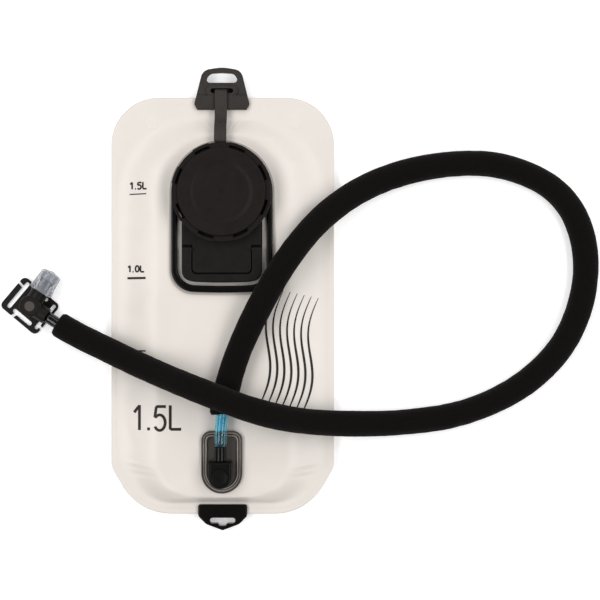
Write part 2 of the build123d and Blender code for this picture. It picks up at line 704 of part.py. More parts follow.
def tube_sleeve(line):
    """Padded sleeve on the tube, cut square near the outlet and near the elbow."""
    sleeve = hollow_along(line, SLEEVE_RADIUS, SLEEVE_BORE)
    cut = 60.0
    start = Pos(*SLEEVE_START) * Rot(0, 0, SLEEVE_START_TURN) * Pos(0, -cut / 2, 0)
    sleeve -= start * Box(cut, cut, 2.05 * SLEEVE_RADIUS)
    middle = ELBOW_TO_SLEEVE - cut / 2
    end = Pos(*ELBOW_AT) * Rot(0, 0, math.degrees(HOSE_HEADING)) * Pos(middle, 0, 0)
    return sleeve - end * Box(cut, cut, cut)


def elbow_rod(heading, radius, start, end):
    """A level rod out from the elbow's axis, from start to end."""
    middle = Pos((start + end) / 2, 0, 0)
    rod = middle * Rot(0, 90, 0) * Cylinder(radius, end - start)
    return from_axis(heading) * rod


def from_axis(heading):
    """The place of the elbow's middle, turned so that +X points along the heading."""
    return Pos(*ELBOW_AT) * Rot(0, 0, math.degrees(heading))


def elbow_post(radius, bottom, top):
    """An upright rod on the elbow's axis."""
    return Pos(ELBOW_AT[0], ELBOW_AT[1], (bottom + top) / 2) * Cylinder(radius, top - bottom)


def valve_elbow():
    body = elbow_post(ELBOW_RADIUS, *ELBOW_Z)
    body = fillet(body.edges().group_by(Axis.Z)[-1], 1.2)
    body += elbow_rod(HOSE_HEADING, ELBOW_COLLAR_RADIUS, 0, ELBOW_TO_HOSE)
    body += elbow_rod(HOSE_HEADING, BARB_RADIUS, 0, ELBOW_BARB_END)
    body += elbow_rod(VALVE_HEADING, SOCKET_RADIUS, 0, SOCKET_END)
    body += elbow_post(BOSS_RADIUS, 0.6, ELBOW_Z[0] + 1)
    body += elbow_post(BOSS_RADIUS + 0.8, 0.6, 1.0) - elbow_post(BOSS_RADIUS, 0.6, 1.0)
    body -= elbow_rod(HOSE_HEADING, FLOW_RADIUS, 0, ELBOW_BARB_END + 1)
    body -= elbow_rod(VALVE_HEADING, SOCKET_BORE, STEM_SPAN[0] - 0.5, SOCKET_END + 1)
    body -= elbow_rod(VALVE_HEADING, STEM_BORE, 0, STEM_SPAN[0])
    inner, outer, depth = DISC_GROOVE
    groove_z = (ELBOW_Z[1] - depth, ELBOW_Z[1] + 1)
    body -= elbow_post(outer, *groove_z) - elbow_post(inner, *groove_z)
    return body - elbow_post(PLUG_RADIUS + 0.02, ELBOW_Z[1] - 0.8, ELBOW_Z[1] + 1)


def elbow_plug():
    plug = elbow_post(PLUG_RADIUS, ELBOW_Z[1] - 0.8, ELBOW_Z[1] + 0.5)
    return fillet(plug.edges().group_by(Axis.Z)[-1], 0.3)


def valve_stem():
    stem = elbow_rod(VALVE_HEADING, STEM_RADIUS, *STEM_SPAN)
    head = elbow_rod(VALVE_HEADING, STEM_RADIUS + 1.2, STEM_SPAN[1] - 3, STEM_SPAN[1])
    groove_half = STEM_RING[1] + 0.05
    groove_span = (STEM_RING_AT - groove_half, STEM_RING_AT + groove_half)
    groove = elbow_rod(VALVE_HEADING, STEM_RADIUS + 1, *groove_span)
    groove -= elbow_rod(VALVE_HEADING, STEM_RING[0] - groove_half, *STEM_SPAN)
    bore = elbow_rod(VALVE_HEADING, STEM_BORE, STEM_SPAN[0] - 1, STEM_SPAN[1] + 1)
    return stem + head - groove - bore


def stem_o_ring():
    ring = Pos(STEM_RING_AT, 0, 0) * Rot(0, 90, 0) * Torus(*STEM_RING)
    return from_axis(VALVE_HEADING) * ring


def bite_valve():
    """Soft mouthpiece over the stem, with a collar at its root and a slit in its domed tip."""
    head_start = STEM_SPAN[1] - 3
    body = from_axis(VALVE_HEADING) * revolve(valve_section(), Axis.X)
    cavity = Cone(VALVE_ROOT_RADIUS - VALVE_WALL, VALVE_TIP_RADIUS - VALVE_WALL, CAVITY_LENGTH)
    middle = STEM_SPAN[1] + 0.1 + CAVITY_LENGTH / 2
    body -= from_axis(VALVE_HEADING) * Pos(middle, 0, 0) * Rot(0, 90, 0) * cavity
    body -= elbow_rod(VALVE_HEADING, STEM_RADIUS + 1.25, head_start - 0.05, STEM_SPAN[1] + 0.2)
    body -= elbow_rod(VALVE_HEADING, STEM_RADIUS + 0.02, VALVE_START - 1, STEM_SPAN[1])
    slit_length, slit_width = VALVE_SLIT
    slit = Box(6, slit_length, slit_width)
    return body - from_axis(VALVE_HEADING) * Pos(VALVE_END, 0, 0) * slit


def valve_section():
    """Half the mouthpiece's outline, along +X from the elbow's axis."""
    collar_radius, collar_length = VALVE_COLLAR
    collar_end = VALVE_START + collar_length
    outline = [
        (VALVE_START, 0),
        (VALVE_START, collar_radius),
        (collar_end, collar_radius),
        (collar_end + 0.9, VALVE_ROOT_RADIUS),
        (VALVE_END - VALVE_DOME, VALVE_TIP_RADIUS),
        (VALVE_END, 0),
    ]
    line = FilletPolyline(*outline, radius=[0.8, 0.5, 0.8, 2.4])
    return make_face(line + Line((VALVE_END, 0), (VALVE_START, 0)))


def strap_clip():
    """Flat plate with a webbing slot on each side; three bars are open for threading."""
    size_u = CLIP_U[1] - CLIP_U[0]
    size_v = CLIP_V[1] - CLIP_V[0]
    face = Pos(sum(CLIP_U) / 2, sum(CLIP_V) / 2) * RectangleRounded(size_u, size_v, CLIP_CORNER)
    face -= Circle(CLIP_HOLE)
    for u, v, length, width, turn in CLIP_SLOTS:
        face -= Pos(u, v) * Rot(0, 0, turn) * SlotOverall(length, width)
    for u, v, length, width, turn in CLIP_CUTS:
        face -= Pos(u, v) * Rot(0, 0, turn) * Rectangle(length, width)
    plate = extrude(face, CLIP_THICK)
    plate = fillet(plate.edges().group_by(Axis.Z)[-1], CLIP_EDGE)
    plate -= Cylinder(BOSS_RADIUS + 1.1, 2 * CLIP_RECESS)
    return Pos(ELBOW_AT[0], ELBOW_AT[1], 0) * Rot(0, 0, CLIP_TURN) * plate


def solids_of(shape):
    """The one solid of a shape, or all of them as a group."""
    items = shape if isinstance(shape, (list, ShapeList)) else [shape]
    solids = [solid for item in items for solid in item.solids()]
    return solids[0] if len(solids) == 1 else Compound(children=solids)


def build():
    line = route_line()
    return {
        "rear_film": rear_film(),
        "front_film": front_film(),
        "fill_port_skirt": fill_port_skirt(),
        "fill_port_rim": fill_port_rim(),
        "fill_port_plate": fill_port_plate(),
        "handle_pins": handle_pins(),
        "carry_handle": carry_handle(),
        "cap_shell": cap_shell(),
        "cap_seal": cap_seal(),
        "tether_ring": tether_ring(),
        "tether_strap": tether_strap(),
        "top_hanger": top_hanger(),
        "bottom_hanger": bottom_hanger(),
        "outlet_flange": outlet_flange(),
        "outlet_housing": outlet_housing(),
        "latch_plate": latch_plate(),
        "release_button": release_button(),
        "button_spring": button_spring(),
        "hose_connector": hose_connector(),
        "connector_o_ring": connector_o_ring(),
        "drink_tube": drink_tube(line),
        "tube_sleeve": tube_sleeve(line),
        "valve_elbow": valve_elbow(),
        "elbow_plug": elbow_plug(),
        "valve_stem": valve_stem(),
        "stem_o_ring": stem_o_ring(),
        "bite_valve": bite_valve(),
        "strap_clip": strap_clip(),
    }


os.makedirs("parts", exist_ok=True)
for name, shape in build().items():
    export_step(solids_of(shape), f"parts/{name}.step")
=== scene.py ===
import math

import bmesh
import bpy
from mathutils import Matrix, Vector, noise
from mathutils.bvhtree import BVHTree


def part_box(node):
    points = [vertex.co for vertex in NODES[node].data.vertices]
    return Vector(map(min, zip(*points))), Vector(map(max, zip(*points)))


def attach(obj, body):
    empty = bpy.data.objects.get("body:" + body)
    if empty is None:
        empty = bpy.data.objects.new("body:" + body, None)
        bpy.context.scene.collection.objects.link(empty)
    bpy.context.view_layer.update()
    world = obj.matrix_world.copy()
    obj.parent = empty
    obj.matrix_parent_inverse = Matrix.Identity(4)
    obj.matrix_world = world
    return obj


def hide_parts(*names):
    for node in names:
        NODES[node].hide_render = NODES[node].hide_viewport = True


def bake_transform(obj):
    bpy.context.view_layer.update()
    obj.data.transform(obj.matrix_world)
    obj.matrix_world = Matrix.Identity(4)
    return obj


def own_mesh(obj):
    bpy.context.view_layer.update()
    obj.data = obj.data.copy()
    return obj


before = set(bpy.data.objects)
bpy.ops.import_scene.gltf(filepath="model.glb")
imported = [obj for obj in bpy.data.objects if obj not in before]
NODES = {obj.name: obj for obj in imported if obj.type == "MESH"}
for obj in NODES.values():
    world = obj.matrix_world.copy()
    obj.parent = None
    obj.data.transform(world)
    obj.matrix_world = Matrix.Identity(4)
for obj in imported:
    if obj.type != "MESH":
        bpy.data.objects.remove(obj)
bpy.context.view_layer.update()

# A hydration bladder lying on its back on a white table. Shapes are worked out in millimetres
# and turned into metres where a mesh is made; the hose's route is in metres, as in the model.
MM = 0.001
FILM_LOW, FILM_HIGH = (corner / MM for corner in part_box("front_film"))

# ---- camera and light
VIEW_WIDTH = 0.480
VIEW_HEIGHT = 1.5
VIEW_CENTRE = Vector((0.0619, -0.0008, 0.010))
LAMP_DISTANCE = 1.5
SIDE_TILT = math.radians(34)
SIDE_SIZE = (0.62, 1.9)
SIDE_POWER = 14.5
BACK_TILT = math.radians(52)
BACK_TURN = math.radians(90)
BACK_SIZE = (0.5, 1.5)
BACK_POWER = 5.0
WORLD_LIGHT = 0.28
FLOOR_HALF = 20.0
FLOOR_GLOW = 0.28

# ---- the hose: its route in metres, the tube and the sleeve in millimetres
ROUTE = [
    (-0.0012, -0.117, 0.0272),
    (-0.0012, -0.093, 0.0272),
    (0.010, -0.047, 0.0272),
    (0.031, -0.003, 0.0344),
    (0.052, 0.033, 0.0336),
    (0.080, 0.067, 0.023),
    (0.118, 0.093, 0.013),
    (0.168, 0.108, 0.0093),
    (0.225, 0.1095, 0.0093),
    (0.2765, 0.084, 0.0093),
    (0.2945, 0.032, 0.0093),
    (0.282, -0.026, 0.0093),
    (0.2475, -0.0665, 0.0093),
    (0.1965, -0.092, 0.0093),
    (0.143, -0.0995, 0.0105),
    (0.097, -0.0995, 0.0195),
    (0.060, -0.0965, 0.0295),
    (0.026, -0.088, 0.0466),
    (-0.017, -0.0715, 0.0464),
    (-0.056, -0.0565, 0.030),
    (-0.093, -0.0395, 0.020),
    (-0.12291, -0.02541, 0.0129),
    (-0.14052, -0.01397, 0.0129),
]
ROUTE_STEPS = 14
TUBE_RADIUS = 4.75
TUBE_BORE = 3.2
TUBE_SIDES = 28
SLEEVE_HALF_WIDTH = 10.2
SLEEVE_HALF_HEIGHT = 8.0
SLEEVE_BORE = 4.95
SLEEVE_SIDES = 44
SLEEVE_STEP = 2.2
SLEEVE_FULLNESS = 0.9
SLEEVE_DROP = 1.0
SLEEVE_SETTLE = 25.0
SLEEVE_START = 26.4
SLEEVE_START_TURN = math.radians(14)
SLEEVE_START_SLANT = 30.0
SLEEVE_END = 10.5
SLEEVE_END_TAPER = 4.0
SLEEVE_SWAY_LENGTH = 38.0
SEAM_COLUMN = SLEEVE_SIDES - 5
STITCH_PITCH = 3.4
STITCH_SIDES = 6
# The tube carries painted shade from the elbow to this x, in metres, which is just inside the sleeve: it
# stands in for the black barb seen dark through the clear wall.
BARB_SHADE_END_X = -0.1285

# ---- the bag's films: half width, top y, bottom y, radius of the top corners, scale of the lower ones
FILM_THICK = 0.58
EDGE_OUTLINE = (FILM_HIGH.x, FILM_HIGH.y, FILM_LOW.y, 38.0, 1.0)
WELD_OUTLINE = (84.5, 146.0, -163.5, 64.0, 0.93)
FRONT_OUTLINE = (50.0, 129.0, -157.0, 45.0, 0.6)
REAR_OUTLINE = (66.0, 138.0, -156.0, 50.0, 0.76)
SEAM_Z = 7.0
SEAM_HALF = 0.6
BOTTOM_CORNER = [(0.0, 37.7, 16.0), (22.3, 0.0, 44.0)]
GRID = 3.0
TOP_ARC_STEPS = 22
LOW_ARC_STEPS = 8
BULGE_STEPS = 15
PUCKER_COUNT = 46
PUCKER_HEIGHT = 0.22

# ---- what stands on the front film
PORT = Vector((-0.1, 84.5))
PORT_RADIUS = 41.8
PORT_BOTTOM_Y = 3.1
PORT_CORNER = 19.0
NECK_HOLE = 29.3
OUTLET = Vector((-0.2, -138.2))
OUTLET_RADIUS = 16.4
OUTLET_TOP_Y = -104.8
OUTLET_CORNER = 7.5
OUTLET_FLOOR = 19.0
OUTLET_RIM_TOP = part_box("outlet_flange")[1].z / MM
PORT_FADE = 16.0


def srgb(red, green, blue):
    """A colour given as it looks on a screen, 0 to 255, as the shader wants it."""
    def linear(value):
        value /= 255
        return value / 12.92 if value <= 0.04045 else ((value + 0.055) / 1.055) ** 2.4
    return (linear(red), linear(green), linear(blue), 1.0)


# ---------------------------------------------------------------- camera, light, floor

def add_camera():
    data = bpy.data.cameras.new("camera")
    data.angle = 2 * math.atan(VIEW_WIDTH / 2 / VIEW_HEIGHT)
    camera = bpy.data.objects.new("camera", data)
    camera.location = VIEW_CENTRE + Vector((0, 0, VIEW_HEIGHT))
    bpy.context.collection.objects.link(camera)
    bpy.context.scene.camera = camera


def add_softbox(name, tilt, turn, size, power):
    """A long lamp that looks at the middle of the object, tilted from straight above."""
    data = bpy.data.lights.new(name, "AREA")
    data.shape = "RECTANGLE"
    data.size, data.size_y = size
    data.energy = power
    lamp = bpy.data.objects.new(name, data)
    facing = Matrix.Rotation(turn, 4, "Z") @ Matrix.Rotation(tilt, 4, "Y")
    reach = Matrix.Translation((0, 0, LAMP_DISTANCE))
    lamp.matrix_world = Matrix.Translation(VIEW_CENTRE) @ facing @ reach
    bpy.context.collection.objects.link(lamp)


def add_light():
    add_softbox("left_softbox", -SIDE_TILT, 0, SIDE_SIZE, SIDE_POWER)
    add_softbox("right_softbox", SIDE_TILT, 0, SIDE_SIZE, SIDE_POWER)
    add_softbox("back_softbox", BACK_TILT, BACK_TURN, BACK_SIZE, BACK_POWER)
    world = bpy.data.worlds.new("studio")
    world.use_nodes = True
    background = world.node_tree.nodes["Background"]
    background.inputs["Color"].default_value = (1, 1, 1, 1)
    background.inputs["Strength"].default_value = WORLD_LIGHT
    bpy.context.scene.world = world
    bpy.context.scene.view_settings.view_transform = "Standard"


def add_floor():
    half = FLOOR_HALF
    mesh = bpy.data.meshes.new("floor")
    corners = [(-half, -half, 0), (half, -half, 0), (half, half, 0), (-half, half, 0)]
    mesh.from_pydata(corners, [], [(0, 1, 2, 3)])
    floor = bpy.data.objects.new("floor", mesh)
    bpy.context.collection.objects.link(floor)
    paint = Finish("white_table", srgb(246, 246, 246), 0.8)
    paint.tint(paint.noise(3.0, 2), 0.985)
    paint.set("Emission Color", (1, 1, 1, 1))
    paint.set("Emission Strength", FLOOR_GLOW)
    mesh.materials.append(paint.material)


# ---------------------------------------------------------------- materials

# Most of a noise texture lies between these two values.
NOISE_LOW = 0.3
NOISE_HIGH = 0.7


class Finish:
    """One material: a Principled shader and the textures that vary it."""

    def __init__(self, name, colour, roughness):
        self.material = bpy.data.materials.new(name)
        self.material.use_nodes = True
        self.tree = self.material.node_tree
        self.shader = self.tree.nodes["Principled BSDF"]
        self.colour = colour
        self.roughness = roughness
        self.set("Base Color", colour)
        self.set("Roughness", roughness)
        self.place = self.tree.nodes.new("ShaderNodeTexCoord").outputs["Object"]
        self.material.diffuse_color = colour

    def set(self, socket, value):
        self.shader.inputs[socket].default_value = value

    def link(self, output, socket):
        self.tree.links.new(output, socket)

    def noise(self, per_metre, detail=2):
        texture = self.tree.nodes.new("ShaderNodeTexNoise")
        texture.inputs["Scale"].default_value = per_metre
        texture.inputs["Detail"].default_value = detail
        self.link(self.place, texture.inputs["Vector"])
        return texture.outputs["Fac"]

    def wave(self, per_metre, place, direction):
        texture = self.tree.nodes.new("ShaderNodeTexWave")
        texture.bands_direction = direction
        texture.inputs["Scale"].default_value = per_metre
        self.link(place, texture.inputs["Vector"])
        return texture.outputs["Fac"]

    def uv(self):
        return self.tree.nodes.new("ShaderNodeUVMap").outputs["UV"]

    def along(self, axis):
        """The distance along one axis, in metres."""
        node = self.tree.nodes.new("ShaderNodeSeparateXYZ")
        self.link(self.place, node.inputs["Vector"])
        return node.outputs[axis]

    def maths(self, operation, first, second):
        node = self.tree.nodes.new("ShaderNodeMath")
        node.operation = operation
        for socket, value in zip(node.inputs, (first, second)):
            if isinstance(value, (int, float)):
                socket.default_value = value
            else:
                self.link(value, socket)
        return node.outputs["Value"]

    def spread(self, value, low, high):
        """A noise value, stretched to run from low to high."""
        node = self.tree.nodes.new("ShaderNodeMapRange")
        node.inputs["To Min"].default_value = low
        node.inputs["To Max"].default_value = high
        node.inputs["From Min"].default_value = NOISE_LOW
        node.inputs["From Max"].default_value = NOISE_HIGH
        self.link(value, node.inputs["Value"])
        return node.outputs["Result"]

    def blend(self, value, dark, light):
        """A colour between two, by a 0 to 1 value."""
        node = self.tree.nodes.new("ShaderNodeMix")
        node.data_type = "RGBA"
        sockets = [socket for socket in node.inputs if socket.type == "RGBA"]
        sockets[0].default_value = dark
        sockets[1].default_value = light
        self.link(value, node.inputs["Factor"])
        mix = next(out for out in node.outputs if out.type == "RGBA")
        self.link(mix, self.shader.inputs["Base Color"])

    def tint(self, value, darkest):
        """Varies the colour from darkest times itself up to itself."""
        dark = tuple(channel * darkest for channel in self.colour[:3]) + (1.0,)
        self.blend(self.spread(value, 0.0, 1.0), dark, self.colour)

    def uneven_gloss(self, value, spread):
        self.link(self.spread(value, self.roughness - spread, self.roughness + spread),
                  self.shader.inputs["Roughness"])

    def bump(self, height, depth_mm, strength=1.0):
        node = self.tree.nodes.new("ShaderNodeBump")
        node.inputs["Strength"].default_value = strength
        node.inputs["Distance"].default_value = depth_mm * MM
        self.link(height, node.inputs["Height"])
        self.link(node.outputs["Normal"], self.shader.inputs["Normal"])


def moulded(name, colour, roughness, grain_per_metre, grain_depth, darkest=0.8, shine=0.16):
    """Moulded plastic or rubber: fine grain, slight cloudiness, uneven gloss."""
    finish = Finish(name, colour, roughness)
    finish.set("Specular IOR Level", shine)
    finish.tint(finish.noise(60, 4), darkest)
    finish.uneven_gloss(finish.noise(220, 3), roughness * 0.18)
    finish.bump(finish.noise(grain_per_metre, 3), grain_depth)
    return finish


def film_finish(name, colour):
    """Milky film: satin, faintly cloudy, with a fine haze in the surface."""
    finish = Finish(name, colour, 0.38)
    finish.set("Transmission Weight", 0.12)
    finish.set("IOR", 1.48)
    finish.tint(finish.noise(14, 3), 0.972)
    finish.uneven_gloss(finish.noise(90, 3), 0.05)
    haze = finish.noise(900, 2)
    ripple = finish.noise(70, 2)
    finish.bump(finish.maths("ADD", finish.maths("MULTIPLY", haze, 0.06), ripple), 0.2, 0.5)
    return finish.material


def smoke_finish(name, colour):
    """Smoky, slightly see-through plastic of the flanges welded to the film."""
    finish = moulded(name, colour, 0.12, 500, 0.01, 0.85, 0.5)
    finish.set("Transmission Weight", 0.2)
    finish.set("IOR", 1.49)
    return finish.material


def gloss_black_finish():
    return moulded("gloss_black", srgb(10, 8, 7), 0.16, 700, 0.008, 0.8, 0.16).material


def satin_black_finish():
    return moulded("satin_black", srgb(22, 19, 17), 0.42, 1400, 0.05, 0.8, 0.13).material


def housing_finish():
    return moulded("housing_black", srgb(11, 10, 9), 0.36, 1400, 0.03, 0.8, 0.1).material


def cap_finish():
    return moulded("cap_black", srgb(25, 21, 19), 0.44, 1700, 0.06, 0.85, 0.1).material


def hanger_finish():
    return moulded("hanger_black", srgb(49, 44, 42), 0.45, 1200, 0.07, 0.82, 0.2).material


def strap_finish():
    return moulded("strap_rubber", srgb(48, 44, 42), 0.55, 900, 0.05, 0.82, 0.2).material


def seal_finish():
    return moulded("seal_rubber", srgb(70, 68, 66), 0.6, 1500, 0.03).material


def steel_finish():
    finish = moulded("pin_steel", srgb(150, 148, 145), 0.34, 2500, 0.01, 0.85, 0.5)
    finish.set("Metallic", 1.0)
    return finish.material


def pin_finish():
    """Steel darkened as painted shade, so the pins read as the shaded gap between the pad and the handle."""
    finish = moulded("pin_painted_shade", srgb(30, 29, 28), 0.4, 2500, 0.01)
    finish.set("Metallic", 0.6)
    return finish.material


def blue_tube_finish():
    """Clear blue, with painted shade in the short bare stretch over the elbow's black barb, where the barb
    would show dark through the wall.
    """
    finish = Finish("blue_tube", srgb(138, 232, 255), 0.05)
    finish.set("Transmission Weight", 0.97)
    finish.set("IOR", 1.46)
    past_barb_shade = finish.maths("SUBTRACT", finish.along("X"), BARB_SHADE_END_X)
    fade = finish.maths("DIVIDE", past_barb_shade, 2 * MM)
    clear = finish.maths("MINIMUM", finish.maths("MAXIMUM", fade, 0.0), 1.0)
    cloud = finish.spread(finish.noise(45, 2), 0.85, 1.0)
    # painted shade: the colour goes to blue-black towards the elbow, standing in for the black barb seen
    # through the clear wall; the noise is random cloudiness
    finish.blend(finish.maths("MULTIPLY", clear, cloud), srgb(26, 28, 40), finish.colour)
    finish.bump(finish.noise(160, 2), 0.05)
    return finish.material


def blue_clear_finish():
    finish = Finish("blue_clear", srgb(52, 78, 108), 0.1)
    finish.set("Transmission Weight", 0.6)
    finish.set("IOR", 1.49)
    finish.tint(finish.noise(120, 2), 0.8)
    finish.bump(finish.noise(400, 2), 0.04)
    return finish.material


def silicone_finish():
    """Clear soft silicone, a little cloudy."""
    finish = Finish("clear_silicone", srgb(196, 199, 205), 0.2)
    finish.set("Transmission Weight", 0.8)
    finish.set("IOR", 1.41)
    finish.tint(finish.noise(150, 3), 0.9)
    finish.uneven_gloss(finish.noise(200, 2), 0.05)
    finish.bump(finish.noise(200, 2), 0.06)
    return finish.material


def grey_plastic_finish():
    return moulded("grey_plastic", srgb(74, 69, 65), 0.45, 1400, 0.04).material


def ink_finish():
    """Screen-printed black ink, slightly thin in places."""
    finish = Finish("print_ink", srgb(42, 36, 34), 0.5)
    finish.set("Specular IOR Level", 0.2)
    finish.tint(finish.noise(300, 3), 0.75)
    finish.bump(finish.noise(1600, 2), 0.02)
    return finish.material


COLUMNS_PER_METRE = 1 / (2.4 * MM)
ROWS_PER_METRE = 1 / (2.0 * MM)


def sleeve_finish():
    """Tight knit: fine rows across fine columns, with a soft nap; its UV map is in metres."""
    finish = Finish("sleeve_fabric", srgb(18, 14, 13), 0.85)
    finish.set("Specular IOR Level", 0.07)
    finish.set("Sheen Weight", 0.04)
    finish.set("Sheen Roughness", 0.4)
    uv = finish.uv()
    columns = finish.wave(COLUMNS_PER_METRE, uv, "X")
    rows = finish.wave(ROWS_PER_METRE, uv, "Y")
    knit = finish.maths("MULTIPLY", columns, rows)
    nap = finish.noise(900, 3)
    knit_share = finish.maths("MULTIPLY", knit, 0.3)
    nap_share = finish.maths("MULTIPLY", nap, 0.7)
    finish.tint(finish.maths("ADD", knit_share, nap_share), 0.55)
    finish.bump(finish.maths("ADD", knit, finish.maths("MULTIPLY", nap, 0.5)), 0.3, 0.8)
    return finish.material


def thread_finish():
    finish = Finish("thread", srgb(24, 21, 20), 0.6)
    finish.set("Specular IOR Level", 0.15)
    finish.tint(finish.noise(1500, 2), 0.6)
    finish.bump(finish.noise(3000, 2), 0.1)
    return finish.material


# ---------------------------------------------------------------- mesh helpers

def add_piece(name, points, faces, material, body=None, smooth=True):
    """A mesh from points in millimetres; with a body it rides on it."""
    mesh = bpy.data.meshes.new(name)
    mesh.from_pydata([Vector(point) * MM for point in points], [], faces)
    mesh.validate()
    mesh.materials.append(material)
    for polygon in mesh.polygons:
        polygon.use_smooth = smooth
    piece = bpy.data.objects.new(name, mesh)
    bpy.context.collection.objects.link(piece)
    if body:
        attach(piece, body)
    return piece


def ring_faces(ring_count, ring_size, wrap=False):
    """Quads between closed rings of equally many points; wrap joins the last ring to the first."""
    faces = []
    for ring in range(ring_count if wrap else ring_count - 1):
        here = ring * ring_size
        there = (ring + 1) % ring_count * ring_size
        for index in range(ring_size):
            after = (index + 1) % ring_size
            faces.append((here + index, here + after, there + after, there + index))
    return faces


def shifted(faces, first):
    """The same faces for points that start at a later index."""
    return [tuple(first + corner for corner in face) for face in faces]


def end_caps(ring_count, ring_size):
    """The two faces that close a row of rings."""
    last = (ring_count - 1) * ring_size
    return [tuple(range(ring_size)), tuple(last + index for index in reversed(range(ring_size)))]


def joined(rings):
    """The points of all rings in one list."""
    return [point for ring in rings for point in ring]


def face_outwards(piece):
    work = bmesh.new()
    work.from_mesh(piece.data)
    bmesh.ops.recalc_face_normals(work, faces=work.faces)
    work.to_mesh(piece.data)
    work.free()


def smooth_line(points, steps):
    """Points along the smooth line that has these as its control points."""
    curve = bpy.data.curves.new("line", "CURVE")
    curve.dimensions = "3D"
    curve.resolution_u = steps
    spline = curve.splines.new("NURBS")
    spline.points.add(len(points) - 1)
    for control, point in zip(spline.points, points):
        control.co = (*point, 1)
    spline.order_u = 3
    spline.use_endpoint_u = True
    holder = bpy.data.objects.new("line", curve)
    mesh = bpy.data.meshes.new_from_object(holder)
    line = [vertex.co.copy() for vertex in mesh.vertices]
    bpy.data.objects.remove(holder)
    bpy.data.curves.remove(curve)
    bpy.data.meshes.remove(mesh)
    return line


def line_lengths(line):
    """The distance along the line to each of its points."""
    lengths = [0.0]
    for before, after in zip(line, line[1:]):
        lengths.append(lengths[-1] + (after - before).length)
    return lengths


def line_at(line, lengths, distance):
    """The point at a distance along the line, and the heading there."""
    index = 0
    while index < len(line) - 2 and lengths[index + 1] < distance:
        index += 1
    step = line[index + 1] - line[index]
    share = (distance - lengths[index]) / step.length
    return line[index] + step * share, step.normalized()


def level_frame(heading):
    """The level direction to the left of a heading, and the one that completes the pair."""
    side = Vector((0, 0, 1)).cross(heading).normalized()
    return side, heading.cross(side)


# ---------------------------------------------------------------- hose

def round_ring(centre, heading, radius, count):
    side, up = level_frame(heading)
    angles = [2 * math.pi * index / count for index in range(count)]
    return [centre + side * radius * math.cos(a) + up * radius * math.sin(a) for a in angles]


def drink_tube(line):
    """Hollow clear tube along the whole route."""
    lengths = line_lengths(line)
    outer = []
    inner = []
    for point, length in zip(line, lengths):
        heading = line_at(line, lengths, length)[1]
        outer.append(round_ring(point, heading, TUBE_RADIUS, TUBE_SIDES))
        inner.append(round_ring(point, heading, TUBE_BORE, TUBE_SIDES))
    rings = outer + inner[::-1]
    faces = ring_faces(len(rings), TUBE_SIDES, True)
    piece = add_piece("drink_tube_wall", joined(rings), faces, MATERIAL["blue_tube"], "hose")
    face_outwards(piece)
    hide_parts("drink_tube")
    return piece


def sleeve_section(angle, width, height):
    """A flattened round: fuller at its two sides than an ellipse."""
    across = math.copysign(abs(math.cos(angle)) ** SLEEVE_FULLNESS, math.cos(angle))
    upward = math.copysign(abs(math.sin(angle)) ** SLEEVE_FULLNESS, math.sin(angle))
    return across * width, upward * height


def sleeve_size(distance, total):
    """Half width and half height of the sleeve, narrowed at its sewn ends."""
    from_end = min(distance, total - distance)
    full = min(1.0, from_end / SLEEVE_END_TAPER)
    full = full * (2 - full)
    sway = noise.noise(Vector((distance / SLEEVE_SWAY_LENGTH, 0.7, 0)))
    width = SLEEVE_HALF_WIDTH * (0.92 + 0.08 * full) + 0.35 * sway
    height = SLEEVE_HALF_HEIGHT * (0.93 + 0.07 * full) - 0.25 * sway
    return width, height


def sleeve_wrinkle(distance, angle):
    """Low creases and a slight puckering, in millimetres."""
    crease = noise.noise(Vector((distance / 7.0, math.cos(angle) * 0.9, math.sin(angle) * 0.9)))
    pucker = noise.noise(Vector((distance / 2.6, math.cos(angle) * 2.0, 5 + math.sin(angle) * 2.0)))
    return 0.22 * crease + 0.07 * pucker


def tube_sleeve(line):
    """Padded fabric sleeve, slightly flat, on the tube from just past the outlet to the elbow."""
    count = SLEEVE_SIDES
    lengths = line_lengths(line)
    total = lengths[-1] - SLEEVE_START - SLEEVE_END
    stations = int(total / SLEEVE_STEP)
    outer = []
    inner = []
    for station in range(stations + 1):
        distance = total * station / stations
        point, heading = line_at(line, lengths, SLEEVE_START + distance)
        side, up = level_frame(heading)
        width, height = sleeve_size(distance, total)
        settle = min(1.0, min(distance, total - distance) / SLEEVE_SETTLE)
        centre = point - Vector((0, 0, SLEEVE_DROP * settle))
        slant = math.tan(SLEEVE_START_TURN) * max(0.0, 1 - distance / SLEEVE_START_SLANT)
        ring = []
        bore = []
        for index in range(count):
            angle = 2 * math.pi * index / count
            across, upward = sleeve_section(angle, width, height)
            bulge = 1 + sleeve_wrinkle(distance, angle) / SLEEVE_HALF_WIDTH
            ring.append(centre + side * across * bulge + up * upward * bulge - heading * across * slant)
            flat = SLEEVE_BORE * math.cos(angle)
            bore.append(point + side * flat + up * SLEEVE_BORE * math.sin(angle) - heading * flat * slant)
        outer.append(ring)
        inner.append(bore)
    rings = sleeve_end(outer[0], inner[0]) + outer[1:-1]
    rings += sleeve_end(outer[-1], inner[-1])[::-1] + inner[::-1]
    faces = ring_faces(len(rings), count, True)
    piece = add_piece("tube_sleeve_fabric", joined(rings), faces, MATERIAL["sleeve_fabric"],
                      "hose")
    add_sleeve_uv(piece, len(rings))
    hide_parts("tube_sleeve")
    return piece, outer


def sleeve_end(outer, inner):
    """Two rings that round a cut end over, the one nearer the bore first."""
    return [[a.lerp(b, share) for a, b in zip(outer, inner)] for share in (0.55, 0.14)]


